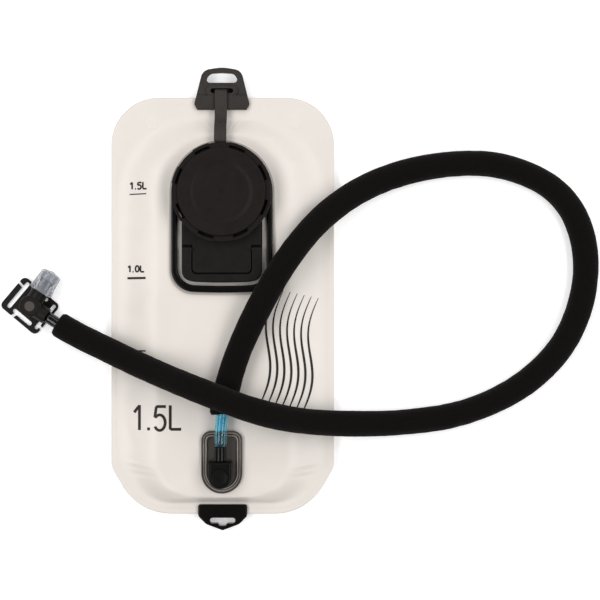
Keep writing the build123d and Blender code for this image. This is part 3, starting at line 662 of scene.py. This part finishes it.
def add_sleeve_uv(piece, ring_count):
    """Runs round the sleeve in u and along it in v, both in metres of fabric."""
    count = SLEEVE_SIDES
    around = 2 * math.pi * SLEEVE_HALF_WIDTH * MM
    step = SLEEVE_STEP * MM
    layer = piece.data.uv_layers.new(name="UVMap")
    for polygon in piece.data.polygons:
        corners = list(polygon.loop_indices)
        where = [piece.data.loops[corner].vertex_index for corner in corners]
        columns = [index % count for index in where]
        rows = [index // count for index in where]
        across_seam = max(columns) - min(columns) > 1
        past_end = max(rows) - min(rows) > 1
        for corner, column, row in zip(corners, columns, rows):
            if across_seam and column == 0:
                column = count
            if past_end and row == 0:
                row = ring_count
            layer.data[corner].uv = (column / count * around, row * step)


def sleeve_seam(outer):
    """Thread stitches along the sleeve, low on the outer side of its curve."""
    seam = [ring[SEAM_COLUMN] for ring in outer[2:-2]]
    lengths = line_lengths(seam)
    points = []
    faces = []
    for index in range(int(lengths[-1] / STITCH_PITCH)):
        start, heading = line_at(seam, lengths, index * STITCH_PITCH + 0.6)
        side, up = level_frame(heading)
        add_stitch(points, faces, start, heading, side, up)
    return add_piece("sleeve_seam_thread", points, faces, MATERIAL["thread"], "hose")


# A stitch's distance along the seam, its height above the cloth and its radius, point by point.
STITCH_ARCH = [
    (0.0, -0.15, 0.05),
    (0.5, 0.12, 0.26),
    (1.3, 0.18, 0.3),
    (2.1, 0.12, 0.26),
    (2.6, -0.15, 0.05),
]


def add_stitch(points, faces, start, heading, side, up):
    """One stitch: a short arched thread with tapered ends."""
    first = len(points)
    for along, lift, radius in STITCH_ARCH:
        centre = start + heading * along + side * lift
        for index in range(STITCH_SIDES):
            angle = 2 * math.pi * index / STITCH_SIDES
            points.append(centre + side * radius * math.cos(angle) + up * radius * math.sin(angle))
    rings = len(STITCH_ARCH)
    faces.extend(shifted(ring_faces(rings, STITCH_SIDES), first))
    faces.extend(face[::-1] for face in shifted(end_caps(rings, STITCH_SIDES), first))


def add_hose():
    line = [point / MM for point in smooth_line(ROUTE, ROUTE_STEPS)]
    tube = drink_tube(line)
    sleeve, outer = tube_sleeve(line)
    seam = sleeve_seam(outer)


# ---------------------------------------------------------------- films of the bag

def bag_corners(half_width, top, bottom, top_round, scale):
    """Corners of the bag's outline, clockwise from its top right, and their radii."""
    right = [Vector((half_width, top))]
    radii = [top_round]
    for inboard, up, radius in BOTTOM_CORNER:
        right.append(Vector((half_width - inboard * scale, bottom + up * scale)))
        radii.append(radius * scale)
    left = [Vector((-corner.x, corner.y)) for corner in reversed(right)]
    return right + left, radii + radii[::-1]


def corner_arc(before, at, after, radius, steps):
    """Points of the arc that rounds one corner."""
    inward = (before - at).normalized()
    outward = (after - at).normalized()
    half = inward.angle(outward) / 2
    centre = at + (inward + outward).normalized() * radius / math.sin(half)
    start = at + inward * radius / math.tan(half) - centre
    end = at + outward * radius / math.tan(half) - centre
    return [centre + start.slerp(end, step / steps) * radius for step in range(steps + 1)]


def bag_ring(outline, side_steps):
    """Points round the outline; each side and each corner has the same number in every ring."""
    corners, radii = bag_corners(*outline)
    size = len(corners)
    arcs = []
    for index, radius in enumerate(radii):
        steps = TOP_ARC_STEPS if index in (0, size - 1) else LOW_ARC_STEPS
        after = corners[(index + 1) % size]
        arcs.append(corner_arc(corners[index - 1], corners[index], after, radius, steps))
    ring = []
    for index, arc in enumerate(arcs):
        ring.extend(arc[:-1])
        start, end = arc[-1], arcs[(index + 1) % size][0]
        ring.extend(start.lerp(end, step / side_steps[index]) for step in range(side_steps[index]))
    return ring


def mixed(first, second, share):
    return tuple(a + (b - a) * share for a, b in zip(first, second))


def side_step_counts():
    corners = bag_corners(*EDGE_OUTLINE)[0]
    size = len(corners)
    counts = []
    for index in range(size):
        length = (corners[(index + 1) % size] - corners[index]).length
        counts.append(max(2, round(length * 0.8 / GRID)))
    return counts


def past_edge(point, centre, radius, far_y, corner):
    """How far a point lies outside a port's outline: round at one end, square at the other."""
    towards = math.copysign(1, far_y - centre.y)
    offset = point - centre
    if offset.y * towards <= 0:
        return offset.length - radius
    across = abs(offset.x) - (radius - corner)
    along = offset.y * towards - (abs(far_y - centre.y) - corner)
    outside = math.hypot(max(across, 0), max(along, 0))
    return outside + min(max(across, along), 0) - corner


def clear_of_ports(point):
    """0 on the ports' flanges, rising to 1 a little way off them."""
    gap = min(past_edge(point, PORT, PORT_RADIUS, PORT_BOTTOM_Y, PORT_CORNER),
              past_edge(point, OUTLET, OUTLET_RADIUS, OUTLET_TOP_Y, OUTLET_CORNER))
    share = min(1.0, max(0.0, (gap - 0.5) / PORT_FADE))
    return share * share * (3 - 2 * share)


# Creases in the front film: from, to, height and half width.
CREASES = [
    ((-46, 8), (-72, -12), 0.7, 5.0),
    ((-45, 62), (-70, 48), 0.4, 6.0),
    ((46, 40), (72, 30), 0.4, 6.0),
    ((-22, -2), (-34, -44), 0.45, 6.0),
    ((-20, -112), (-52, -96), 0.5, 5.0),
    ((20, -114), (56, -92), 0.5, 5.0),
    ((-18, -146), (-52, -158), 0.6, 5.0),
    ((18, -146), (50, -157), 0.6, 5.0),
    ((-66, -120), (-78, -84), 0.45, 4.0),
    ((70, -126), (78, -90), 0.45, 4.0),
]


def crease_height(point):
    """Sum of the soft ridges near a point, in millimetres."""
    height = 0.0
    for start, end, rise, half_width in CREASES:
        start, end = Vector(start), Vector(end)
        axis = end - start
        along = (point - start).dot(axis) / axis.length_squared
        if not -0.2 < along < 1.2:
            continue
        off = abs((point - start).cross(axis)) / axis.length
        ends = min(1.0, max(0.0, 0.5 - abs(along - 0.5) + 0.2) / 0.45)
        height += rise * ends * ends * (3 - 2 * ends) * math.exp(-(off / half_width) ** 2)
    return height


def film_relief(point, seed):
    """Broad swell and small dimples of a limp film, in millimetres."""
    swell = noise.noise(Vector((point.x / 42, point.y / 55, seed)))
    dimple = noise.noise(Vector((point.x / 17, point.y / 22, seed + 4)))
    return 0.8 * swell + 0.22 * dimple


def edge_wave(point):
    """The weld's slow waviness, nothing near the two clamped hangers."""
    off_hangers = min(1.0, max(0.0, (abs(point.x) - 26) / 25))
    return 1.1 * off_hangers * noise.noise(Vector((point.x / 60, point.y / 70, 9)))


# The weld's section, from the cut edge (0) to its inner side (1), and its height in millimetres.
WELD_SECTION = [
    (0.0, -0.2),
    (0.06, -0.03),
    (0.15, 0.03),
    (0.3, 0.0),
    (0.55, 0.0),
    (0.62, 0.09),
    (0.7, 0.09),
    (0.78, 0.0),
    (0.9, 0.0),
    (1.0, 0.03),
]


# How softly the bulge leaves the weld: 0 is at once, and near the bulge's power it starts level.
SOFT_START = 1.5


def film_rings(inner_outline, outer_z, plateau_z, power, seed, side):
    """Rings from the cut edge over the weld and the bulge to the middle of the film.

    side is 1 for the front film, whose outside is up, and -1 for the rear film.
    """
    steps = side_step_counts()
    rings = []
    for share, lift in WELD_SECTION:
        ring = bag_ring(mixed(EDGE_OUTLINE, WELD_OUTLINE, share), steps)
        rings.append([Vector((p.x, p.y, outer_z + side * lift + edge_wave(p))) for p in ring])
    for step in range(1, BULGE_STEPS + 1):
        share = step / BULGE_STEPS
        rise = 1 - (1 - share) ** power * (1 + SOFT_START * share)
        ring = bag_ring(mixed(WELD_OUTLINE, inner_outline, share), steps)
        count = len(ring)
        placed = []
        for index, p in enumerate(ring):
            drift = 3 * noise.noise(Vector((p.x / 30, p.y / 30, seed)))
            pucker = PUCKER_HEIGHT * math.sin(math.pi * share) ** 2 * (1 - share)
            pucker *= math.sin(2 * math.pi * index / count * PUCKER_COUNT + drift)
            wave = edge_wave(p) * (1 - share) ** 2
            z = outer_z + (plateau_z - outer_z) * rise + wave + side * pucker
            placed.append(Vector((p.x, p.y, z)))
        rings.append(placed)
    rim = rings[-1]
    half_width, top, bottom = inner_outline[:3]
    inner_steps = round(half_width / GRID)
    for step in range(1, inner_steps + 1):
        share = step / inner_steps
        ring = []
        for p in rim:
            middle = Vector((0, min(top - half_width, max(bottom + half_width, p.y)), plateau_z))
            ring.append(p.lerp(middle, share))
        rings.append(ring)
    return rings


def front_height(point, z):
    """Adds the front film's relief to a point inside the weld."""
    depth = min(1.0, max(0.0, (z - SEAM_Z - 1.2) / 6.0))
    relief = film_relief(point, 2) + crease_height(point)
    return z + depth * clear_of_ports(point) * relief


def front_film():
    top_z = SEAM_Z + SEAM_HALF
    rings = film_rings(FRONT_OUTLINE, top_z, FILM_HIGH.z, 1.8, 2, 1)
    points = []
    for ring in rings:
        for p in ring:
            points.append(Vector((p.x, p.y, front_height(Vector((p.x, p.y)), p.z))))
    return film_piece("front_film_sheet", points, rings, True, "front_film")


def rear_film():
    low_z = SEAM_Z - SEAM_HALF
    rings = film_rings(REAR_OUTLINE, low_z, 0.0, 2.0, 7, -1)
    points = []
    for ring in rings:
        for p in ring:
            swell = 0.5 + 0.5 * noise.noise(Vector((p.x / 36, p.y / 44, 21)))
            inside = min(1.0, max(0.0, (low_z - p.z) / 3.0))
            points.append(Vector((p.x, p.y, max(0.0, p.z) + 0.7 * swell * swell * inside)))
    film_piece("rear_film_sheet", points, rings, False, "rear_film")


def film_piece(name, points, rings, faces_up, node):
    count = len(rings[0])
    faces = ring_faces(len(rings), count)
    if faces_up:
        faces = [face[::-1] for face in faces]
    piece = add_piece(name, points, faces, MATERIAL[name], "bag")
    work = bmesh.new()
    work.from_mesh(piece.data)
    bmesh.ops.remove_doubles(work, verts=work.verts, dist=0.02 * MM)
    if faces_up:
        neck = [face for face in work.faces
                if (face.calc_center_median().xy / MM - PORT).length < NECK_HOLE]
        bmesh.ops.delete(work, geom=neck, context="FACES")
    work.to_mesh(piece.data)
    work.free()
    thick = piece.modifiers.new("thickness", "SOLIDIFY")
    thick.thickness = FILM_THICK * MM
    thick.offset = -1
    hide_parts(node)
    return piece


# ---------------------------------------------------------------- prints on the front film

WAVE_COUNT = 7
WAVE_FOOT = (30.0, -84.0)
WAVE_PITCH = 5.6
WAVE_LEAN = 13.0
WAVE_RISE = 92.0
WAVE_DROP = 1.2
WAVE_SWAY = 4.5
INK_TOP = 0.16
INK_BOTTOM = 0.02
RIBBON_STEP = 0.9
LINE_END = 0.9999


class Surface:
    """Finds the height of the front film, in millimetres."""

    def __init__(self, piece):
        mesh = piece.data
        corners = [vertex.co / MM for vertex in mesh.vertices]
        self.tree = BVHTree.FromPolygons(corners, [tuple(polygon.vertices) for polygon in mesh.polygons])

    def height(self, x, y):
        hit = self.tree.ray_cast(Vector((x, y, 100)), Vector((0, 0, -1)))
        return hit[0].z


def add_ribbon(points, faces, surface, path, width):
    """A thin printed line on the film; width is a number or a function of the share run."""
    lengths = line_lengths(path)
    total = lengths[-1]
    count = max(2, round(total / RIBBON_STEP))
    first = len(points)
    for step in range(count + 1):
        share = step / count
        at, heading = line_at(path, lengths, total * share * LINE_END)
        side = Vector((-heading.y, heading.x, 0))
        half = (width(share) if callable(width) else width) / 2
        for offset in (-half, half):
            x, y = at.x + side.x * offset, at.y + side.y * offset
            z = surface.height(x, y)
            points.append(Vector((x, y, z + INK_TOP)))
            points.append(Vector((x, y, z + INK_BOTTOM)))
    for step in range(count):
        near = first + 4 * step
        far = near + 4
        faces.append((near, far, far + 2, near + 2))
        faces.append((near + 1, near + 3, far + 3, far + 1))
        faces.append((near, near + 1, far + 1, far))
        faces.append((near + 2, far + 2, far + 3, near + 3))
    last = first + 4 * count
    faces.append((first, first + 2, first + 3, first + 1))
    faces.append((last, last + 1, last + 3, last + 2))


def arc_path(centre, across, up, start, end):
    """Points of an ellipse's arc, angles in degrees."""
    steps = 22
    angles = [math.radians(start + (end - start) * step / steps) for step in range(steps + 1)]
    return [Vector((centre[0] + across * math.cos(a), centre[1] + up * math.sin(a), 0)) for a in angles]


def digit_strokes(figure):
    """Strokes of one of the scale's figures, 1 high, and the room that it takes."""
    if figure == "1":
        return [[(0.02, 0.70), (0.23, 0.98)], [(0.23, 1.0), (0.23, 0.0)]], 0.54
    if figure == ".":
        return [[(0.0, 0.055), (0.11, 0.055)]], 0.30
    if figure == "5":
        bowl = [tuple(p.xy) for p in arc_path((0.19, 0.31), 0.215, 0.31, 128, -150)]
        return [[(0.43, 0.95), (0.06, 0.95), (0.0, 0.50)] + bowl[1:]], 0.60
    if figure == "0":
        return [[tuple(p.xy) for p in arc_path((0.22, 0.5), 0.20, 0.47, 90, 450)]], 0.60
    return [[(0.0, 1.0), (0.0, 0.045), (0.42, 0.045)]], 0.5


def add_figures(points, faces, surface, text, left, baseline, height, stroke, spread):
    """Writes scale figures in plain strokes."""
    x = left
    for figure in text:
        strokes, room = digit_strokes(figure)
        for stroke_points in strokes:
            path = []
            for px, py in stroke_points:
                path.append(Vector((x + px * height * spread, baseline + py * height, 0)))
            add_ribbon(points, faces, surface, path, stroke)
        x += room * height * spread


def volume_marks(surface):
    """Litre scale down the left side and the bag's capacity below it."""
    points = []
    faces = []
    add_figures(points, faces, surface, "1.5L", -74.0, 87.7, 5.6, 1.35, 1.3)
    add_ribbon(points, faces, surface, [Vector((-74.4, 83.6, 0)), Vector((-60.8, 84.0, 0))], 0.9)
    add_figures(points, faces, surface, "1.0L", -75.8, 21.5, 5.2, 1.35, 1.38)
    add_ribbon(points, faces, surface, [Vector((-76.2, 16.6, 0)), Vector((-61.2, 16.8, 0))], 1.8)
    add_ribbon(points, faces, surface, [Vector((-76.2, -41.6, 0)), Vector((-61.2, -41.4, 0))], 1.2)
    add_figures(points, faces, surface, "1.5L", -71.0, -104.6, 20.0, 2.3, 1.03)
    add_piece("volume_marks", points, faces, MATERIAL["print_ink"], "bag", False)


def taper(share):
    """Width of a wave line: fullest a third of the way up and drawn out to fine tips."""
    return 0.5 + 1.5 * math.sin(math.pi * share ** 0.7)


def wave_lines(surface):
    """A plain pattern of rising wave lines, evenly spaced."""
    points = []
    faces = []
    steps = 40
    for index in range(WAVE_COUNT):
        path = []
        for step in range(steps + 1):
            share = step / steps
            sway = WAVE_SWAY * math.sin(2 * math.pi * share)
            x = WAVE_FOOT[0] + WAVE_PITCH * index + WAVE_LEAN * share + sway
            path.append(Vector((x, WAVE_FOOT[1] + WAVE_RISE * share - WAVE_DROP * index, 0)))
        add_ribbon(points, faces, surface, path, taper)
    add_piece("wave_lines", points, faces, MATERIAL["print_ink"], "bag", False)


# Each weld spot's place and radius, and the spots' section: share of the radius and height.
SPOTS = [(-56.7, 141.8, 6.0), (-33.4, 152.0, 3.3), (33.4, 152.0, 3.3), (56.7, 141.8, 6.0)]
SPOT_SECTION = [
    (1.0, -0.1),
    (0.97, 0.09),
    (0.88, 0.14),
    (0.78, 0.05),
    (0.55, 0.05),
    (0.3, 0.09),
    (0.04, 0.1),
]


def weld_spots(surface):
    """Round spots pressed into the weld near the top: a low dome inside a raised ring."""
    points = []
    faces = []
    count = 32
    for x, y, radius in SPOTS:
        first = len(points)
        for share, lift in SPOT_SECTION:
            for index in range(count):
                angle = 2 * math.pi * index / count
                px = x + radius * share * math.cos(angle)
                py = y + radius * share * math.sin(angle)
                points.append(Vector((px, py, surface.height(px, py) + lift)))
        rings = len(SPOT_SECTION)
        faces.extend(shifted(ring_faces(rings, count), first))
        faces.extend(face[::-1] for face in shifted(end_caps(rings, count), first))
    add_piece("weld_spots", points, faces, MATERIAL["weld_spots"], "bag")


# ---------------------------------------------------------------- outlet flange

# Beads along the flange's floor and its inner rim: inset from its edge, width, and what they lie on.
OUTLET_BEADS = [(1.85, 1.3, OUTLET_FLOOR), (3.85, 0.9, OUTLET_RIM_TOP)]
BEAD_HEIGHT = 0.42
BEAD_SUNK = 0.1
BEAD_STEPS = 8


def outlet_loop(inset):
    """Points round the flange, inset from its edge: half round below, rounded corners above."""
    steps = 10
    radius = OUTLET_RADIUS - inset
    top_y = OUTLET_TOP_Y - inset
    corner = max(OUTLET_CORNER - inset, 1.0)
    loop = []
    for step in range(2 * steps + 1):
        angle = math.pi + math.pi * step / (2 * steps)
        loop.append(OUTLET + Vector((math.cos(angle), math.sin(angle))) * radius)
    for side, start in ((1, 0.0), (-1, math.pi / 2)):
        middle = Vector((OUTLET.x + side * (radius - corner), top_y - corner))
        for step in range(steps + 1):
            angle = start + math.pi / 2 * step / steps
            loop.append(middle + Vector((math.cos(angle), math.sin(angle))) * corner)
    return loop


def outlet_highlight_beads():
    """Low rounded beads that follow the flange's outline, coloured light as painted highlights of its glossy
    rims.
    """
    points = []
    faces = []
    for inset, width, top in OUTLET_BEADS:
        first = len(points)
        for step in range(BEAD_STEPS + 1):
            angle = math.pi * step / BEAD_STEPS
            offset = inset - width / 2 * math.cos(angle)
            z = top - BEAD_SUNK + BEAD_HEIGHT * math.sin(angle)
            points.extend(Vector((*place, z)) for place in outlet_loop(offset))
        count = (len(points) - first) // (BEAD_STEPS + 1)
        faces.extend(shifted(ring_faces(BEAD_STEPS + 1, count, True), first))
    piece = add_piece("outlet_highlight_beads", points, faces, MATERIAL["outlet_highlight_beads"], "bag")
    face_outwards(piece)


# ---------------------------------------------------------------- tether strap, spring

STRAP_X = -1.3
STRAP_HALF_WIDTH = 4.9
STRAP_HALF_THICK = 0.8
STRAP_RIBS = 4
STRAP_RIB_HEIGHT = 0.14
STRAP_EDGE = 0.14
TOGGLE = (11.5, 3.1, 0.9)
TOGGLE_Z = 3.7
TOGGLE_CORNER = 1.2
TOGGLE_EDGE = 0.35
STRAP_LINE = [
    (STRAP_X, 167.2, 3.6),
    (STRAP_X, 167.0, 9.0),
    (STRAP_X, 166.6, 13.2),
    (STRAP_X, 160.0, 13.7),
    (STRAP_X, 150.0, 13.5),
    (STRAP_X, 142.0, 16.0),
    (STRAP_X, 137.0, 23.6),
    (STRAP_X, 131.5, 26.4),
    (STRAP_X, 124.2, 26.6),
]


def strap_profile():
    """The strap's section: shallow ribs along its top, soft edges and a flat underside."""
    top = []
    steps = 32
    for step in range(steps + 1):
        across = -1 + 2 * step / steps
        edge = max(0.0, (abs(across) - (1 - STRAP_EDGE)) / STRAP_EDGE)
        rib = STRAP_RIB_HEIGHT * math.cos(across * STRAP_RIBS * math.pi) * (1 - min(1.0, edge * 3))
        height = STRAP_HALF_THICK * math.sqrt(1 - 0.7 * edge * edge) - 0.12 + rib
        top.append((across * STRAP_HALF_WIDTH, height))
    bottom = [(0.96 * x, -STRAP_HALF_THICK) for x in (STRAP_HALF_WIDTH, 0.0, -STRAP_HALF_WIDTH)]
    return top + bottom


def add_toggle(points, faces):
    """The crossbar under the hanger's slot, with softened edges."""
    half_x, half_y, half_z = TOGGLE
    straight_x = half_x - TOGGLE_CORNER
    straight_y = half_y - TOGGLE_CORNER
    side_z = half_z - TOGGLE_EDGE
    section = [(TOGGLE_EDGE, -half_z), (0.0, -side_z), (0.0, side_z), (TOGGLE_EDGE, half_z)]
    count = 24
    first = len(points)
    for inset, z in section:
        for index in range(count):
            angle = 2 * math.pi * (index + 0.5) / count
            x = math.copysign(straight_x, math.cos(angle)) + (TOGGLE_CORNER - inset) * math.cos(angle)
            y = math.copysign(straight_y, math.sin(angle)) + (TOGGLE_CORNER - inset) * math.sin(angle)
            points.append(Vector((STRAP_X + x, STRAP_LINE[0][1] + y, TOGGLE_Z + z)))
    faces.extend(shifted(ring_faces(len(section), count), first))
    faces.extend(face[::-1] for face in shifted(end_caps(len(section), count), first))


def tether_strap():
    """The strap from the crossbar to the ring's tab, bent between the two."""
    line = smooth_line(STRAP_LINE, 10)
    lengths = line_lengths(line)
    profile = strap_profile()
    across = Vector((1, 0, 0))
    rings = []
    for index, length in enumerate(lengths):
        heading = line_at(line, lengths, length)[1]
        normal = heading.cross(across).normalized()
        if normal.z < 0 or (abs(normal.z) < 0.3 and normal.y > 0):
            normal = -normal
        from_end = lengths[-1] - length
        narrow = 1 - 0.12 * max(0.0, 1 - from_end / 1.2)
        rings.append([line[index] + across * x * narrow + normal * z for x, z in profile])
    points = joined(rings)
    faces = ring_faces(len(rings), len(profile)) + end_caps(len(rings), len(profile))
    add_toggle(points, faces)
    piece = add_piece("tether_strap_band", points, faces, MATERIAL["strap_rubber"])
    face_outwards(piece)
    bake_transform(piece)
    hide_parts("tether_strap")


SPRING_WIRE = 0.25
SPRING_TURNS = 2
SPRING_LOW_RADIUS = 2.6
SPRING_NARROWING = 1.1


def button_spring():
    """Conical coil under the button."""
    low, high = (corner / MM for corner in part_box("button_spring"))
    wire = SPRING_WIRE
    count = 8
    steps = 40 * SPRING_TURNS
    middle = (low + high) / 2
    rings = []
    for step in range(steps + 1):
        share = step / steps
        angle = 2 * math.pi * SPRING_TURNS * share
        radius = SPRING_LOW_RADIUS - SPRING_NARROWING * share
        outward = Vector((math.cos(angle), math.sin(angle), 0))
        centre = Vector((middle.x, middle.y, low.z + wire + (high.z - low.z - 2 * wire) * share))
        centre += outward * radius
        ring = []
        for index in range(count):
            around = 2 * math.pi * index / count
            ring.append(centre + outward * wire * math.cos(around) + Vector((0, 0, wire * math.sin(around))))
        rings.append(ring)
    faces = ring_faces(len(rings), count) + end_caps(len(rings), count)
    piece = add_piece("button_spring_coil", joined(rings), faces, MATERIAL["pin_steel"], "bag")
    face_outwards(piece)
    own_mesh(piece)
    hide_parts("button_spring")


# ---------------------------------------------------------------- finishes on the carried-over parts

def dress_nodes():
    """Gives each CAD node the finish of its slot."""
    finishes = {
        "port_smoke_and_highlight": ("fill_port_skirt",),
        "outlet_smoke": ("outlet_flange",),
        "gloss_black": ("fill_port_rim", "bottom_hanger", "hose_connector"),
        "satin_black": ("fill_port_plate", "carry_handle", "tether_ring", "valve_elbow", "strap_clip"),
        "housing_black": ("outlet_housing", "release_button"),
        "cap_black": ("cap_shell",),
        "hanger_black": ("top_hanger",),
        "seal_rubber": ("cap_seal", "connector_o_ring", "stem_o_ring"),
        "pin_steel": ("latch_plate",),
        "pin_painted_shade": ("handle_pins",),
        "grey_plastic": ("elbow_plug",),
        "blue_clear": ("valve_stem",),
        "clear_silicone": ("bite_valve",),
    }
    for finish, names in finishes.items():
        for name in names:
            node = NODES[name]
            if not node.material_slots:
                node.data.materials.append(None)
            for slot in node.material_slots:
                slot.material = MATERIAL[finish]


MATERIAL = {
    "front_film_sheet": film_finish("front_film", srgb(228, 221, 214)),
    "rear_film_sheet": film_finish("rear_film", srgb(224, 217, 210)),
    "weld_spots": film_finish("weld_spots", srgb(229, 222, 215)),
    # the port skirt's light grey is partly its own smoky plastic and partly a painted highlight: the
    # softboxes' reflection in its glossy channel
    "port_smoke_and_highlight": smoke_finish("port_smoke_and_highlight", srgb(196, 189, 183)),
    "outlet_smoke": smoke_finish("outlet_smoke", srgb(84, 78, 74)),
    # painted highlight: the beads are light grey-brown where the flange's glossy rims would catch the
    # softboxes as bright lines
    "outlet_highlight_beads": smoke_finish("outlet_highlight_beads", srgb(168, 158, 150)),
    "pin_painted_shade": pin_finish(),
    "housing_black": housing_finish(),
    "gloss_black": gloss_black_finish(),
    "satin_black": satin_black_finish(),
    "cap_black": cap_finish(),
    "hanger_black": hanger_finish(),
    "strap_rubber": strap_finish(),
    "seal_rubber": seal_finish(),
    "pin_steel": steel_finish(),
    "blue_tube": blue_tube_finish(),
    "blue_clear": blue_clear_finish(),
    "clear_silicone": silicone_finish(),
    "grey_plastic": grey_plastic_finish(),
    "sleeve_fabric": sleeve_finish(),
    "thread": thread_finish(),
    "print_ink": ink_finish(),
}

add_camera()
add_light()
add_hose()
dress_nodes()
rear_film()
film_surface = Surface(front_film())
volume_marks(film_surface)
wave_lines(film_surface)
weld_spots(film_surface)
outlet_highlight_beads()
tether_strap()
button_spring()
add_floor()
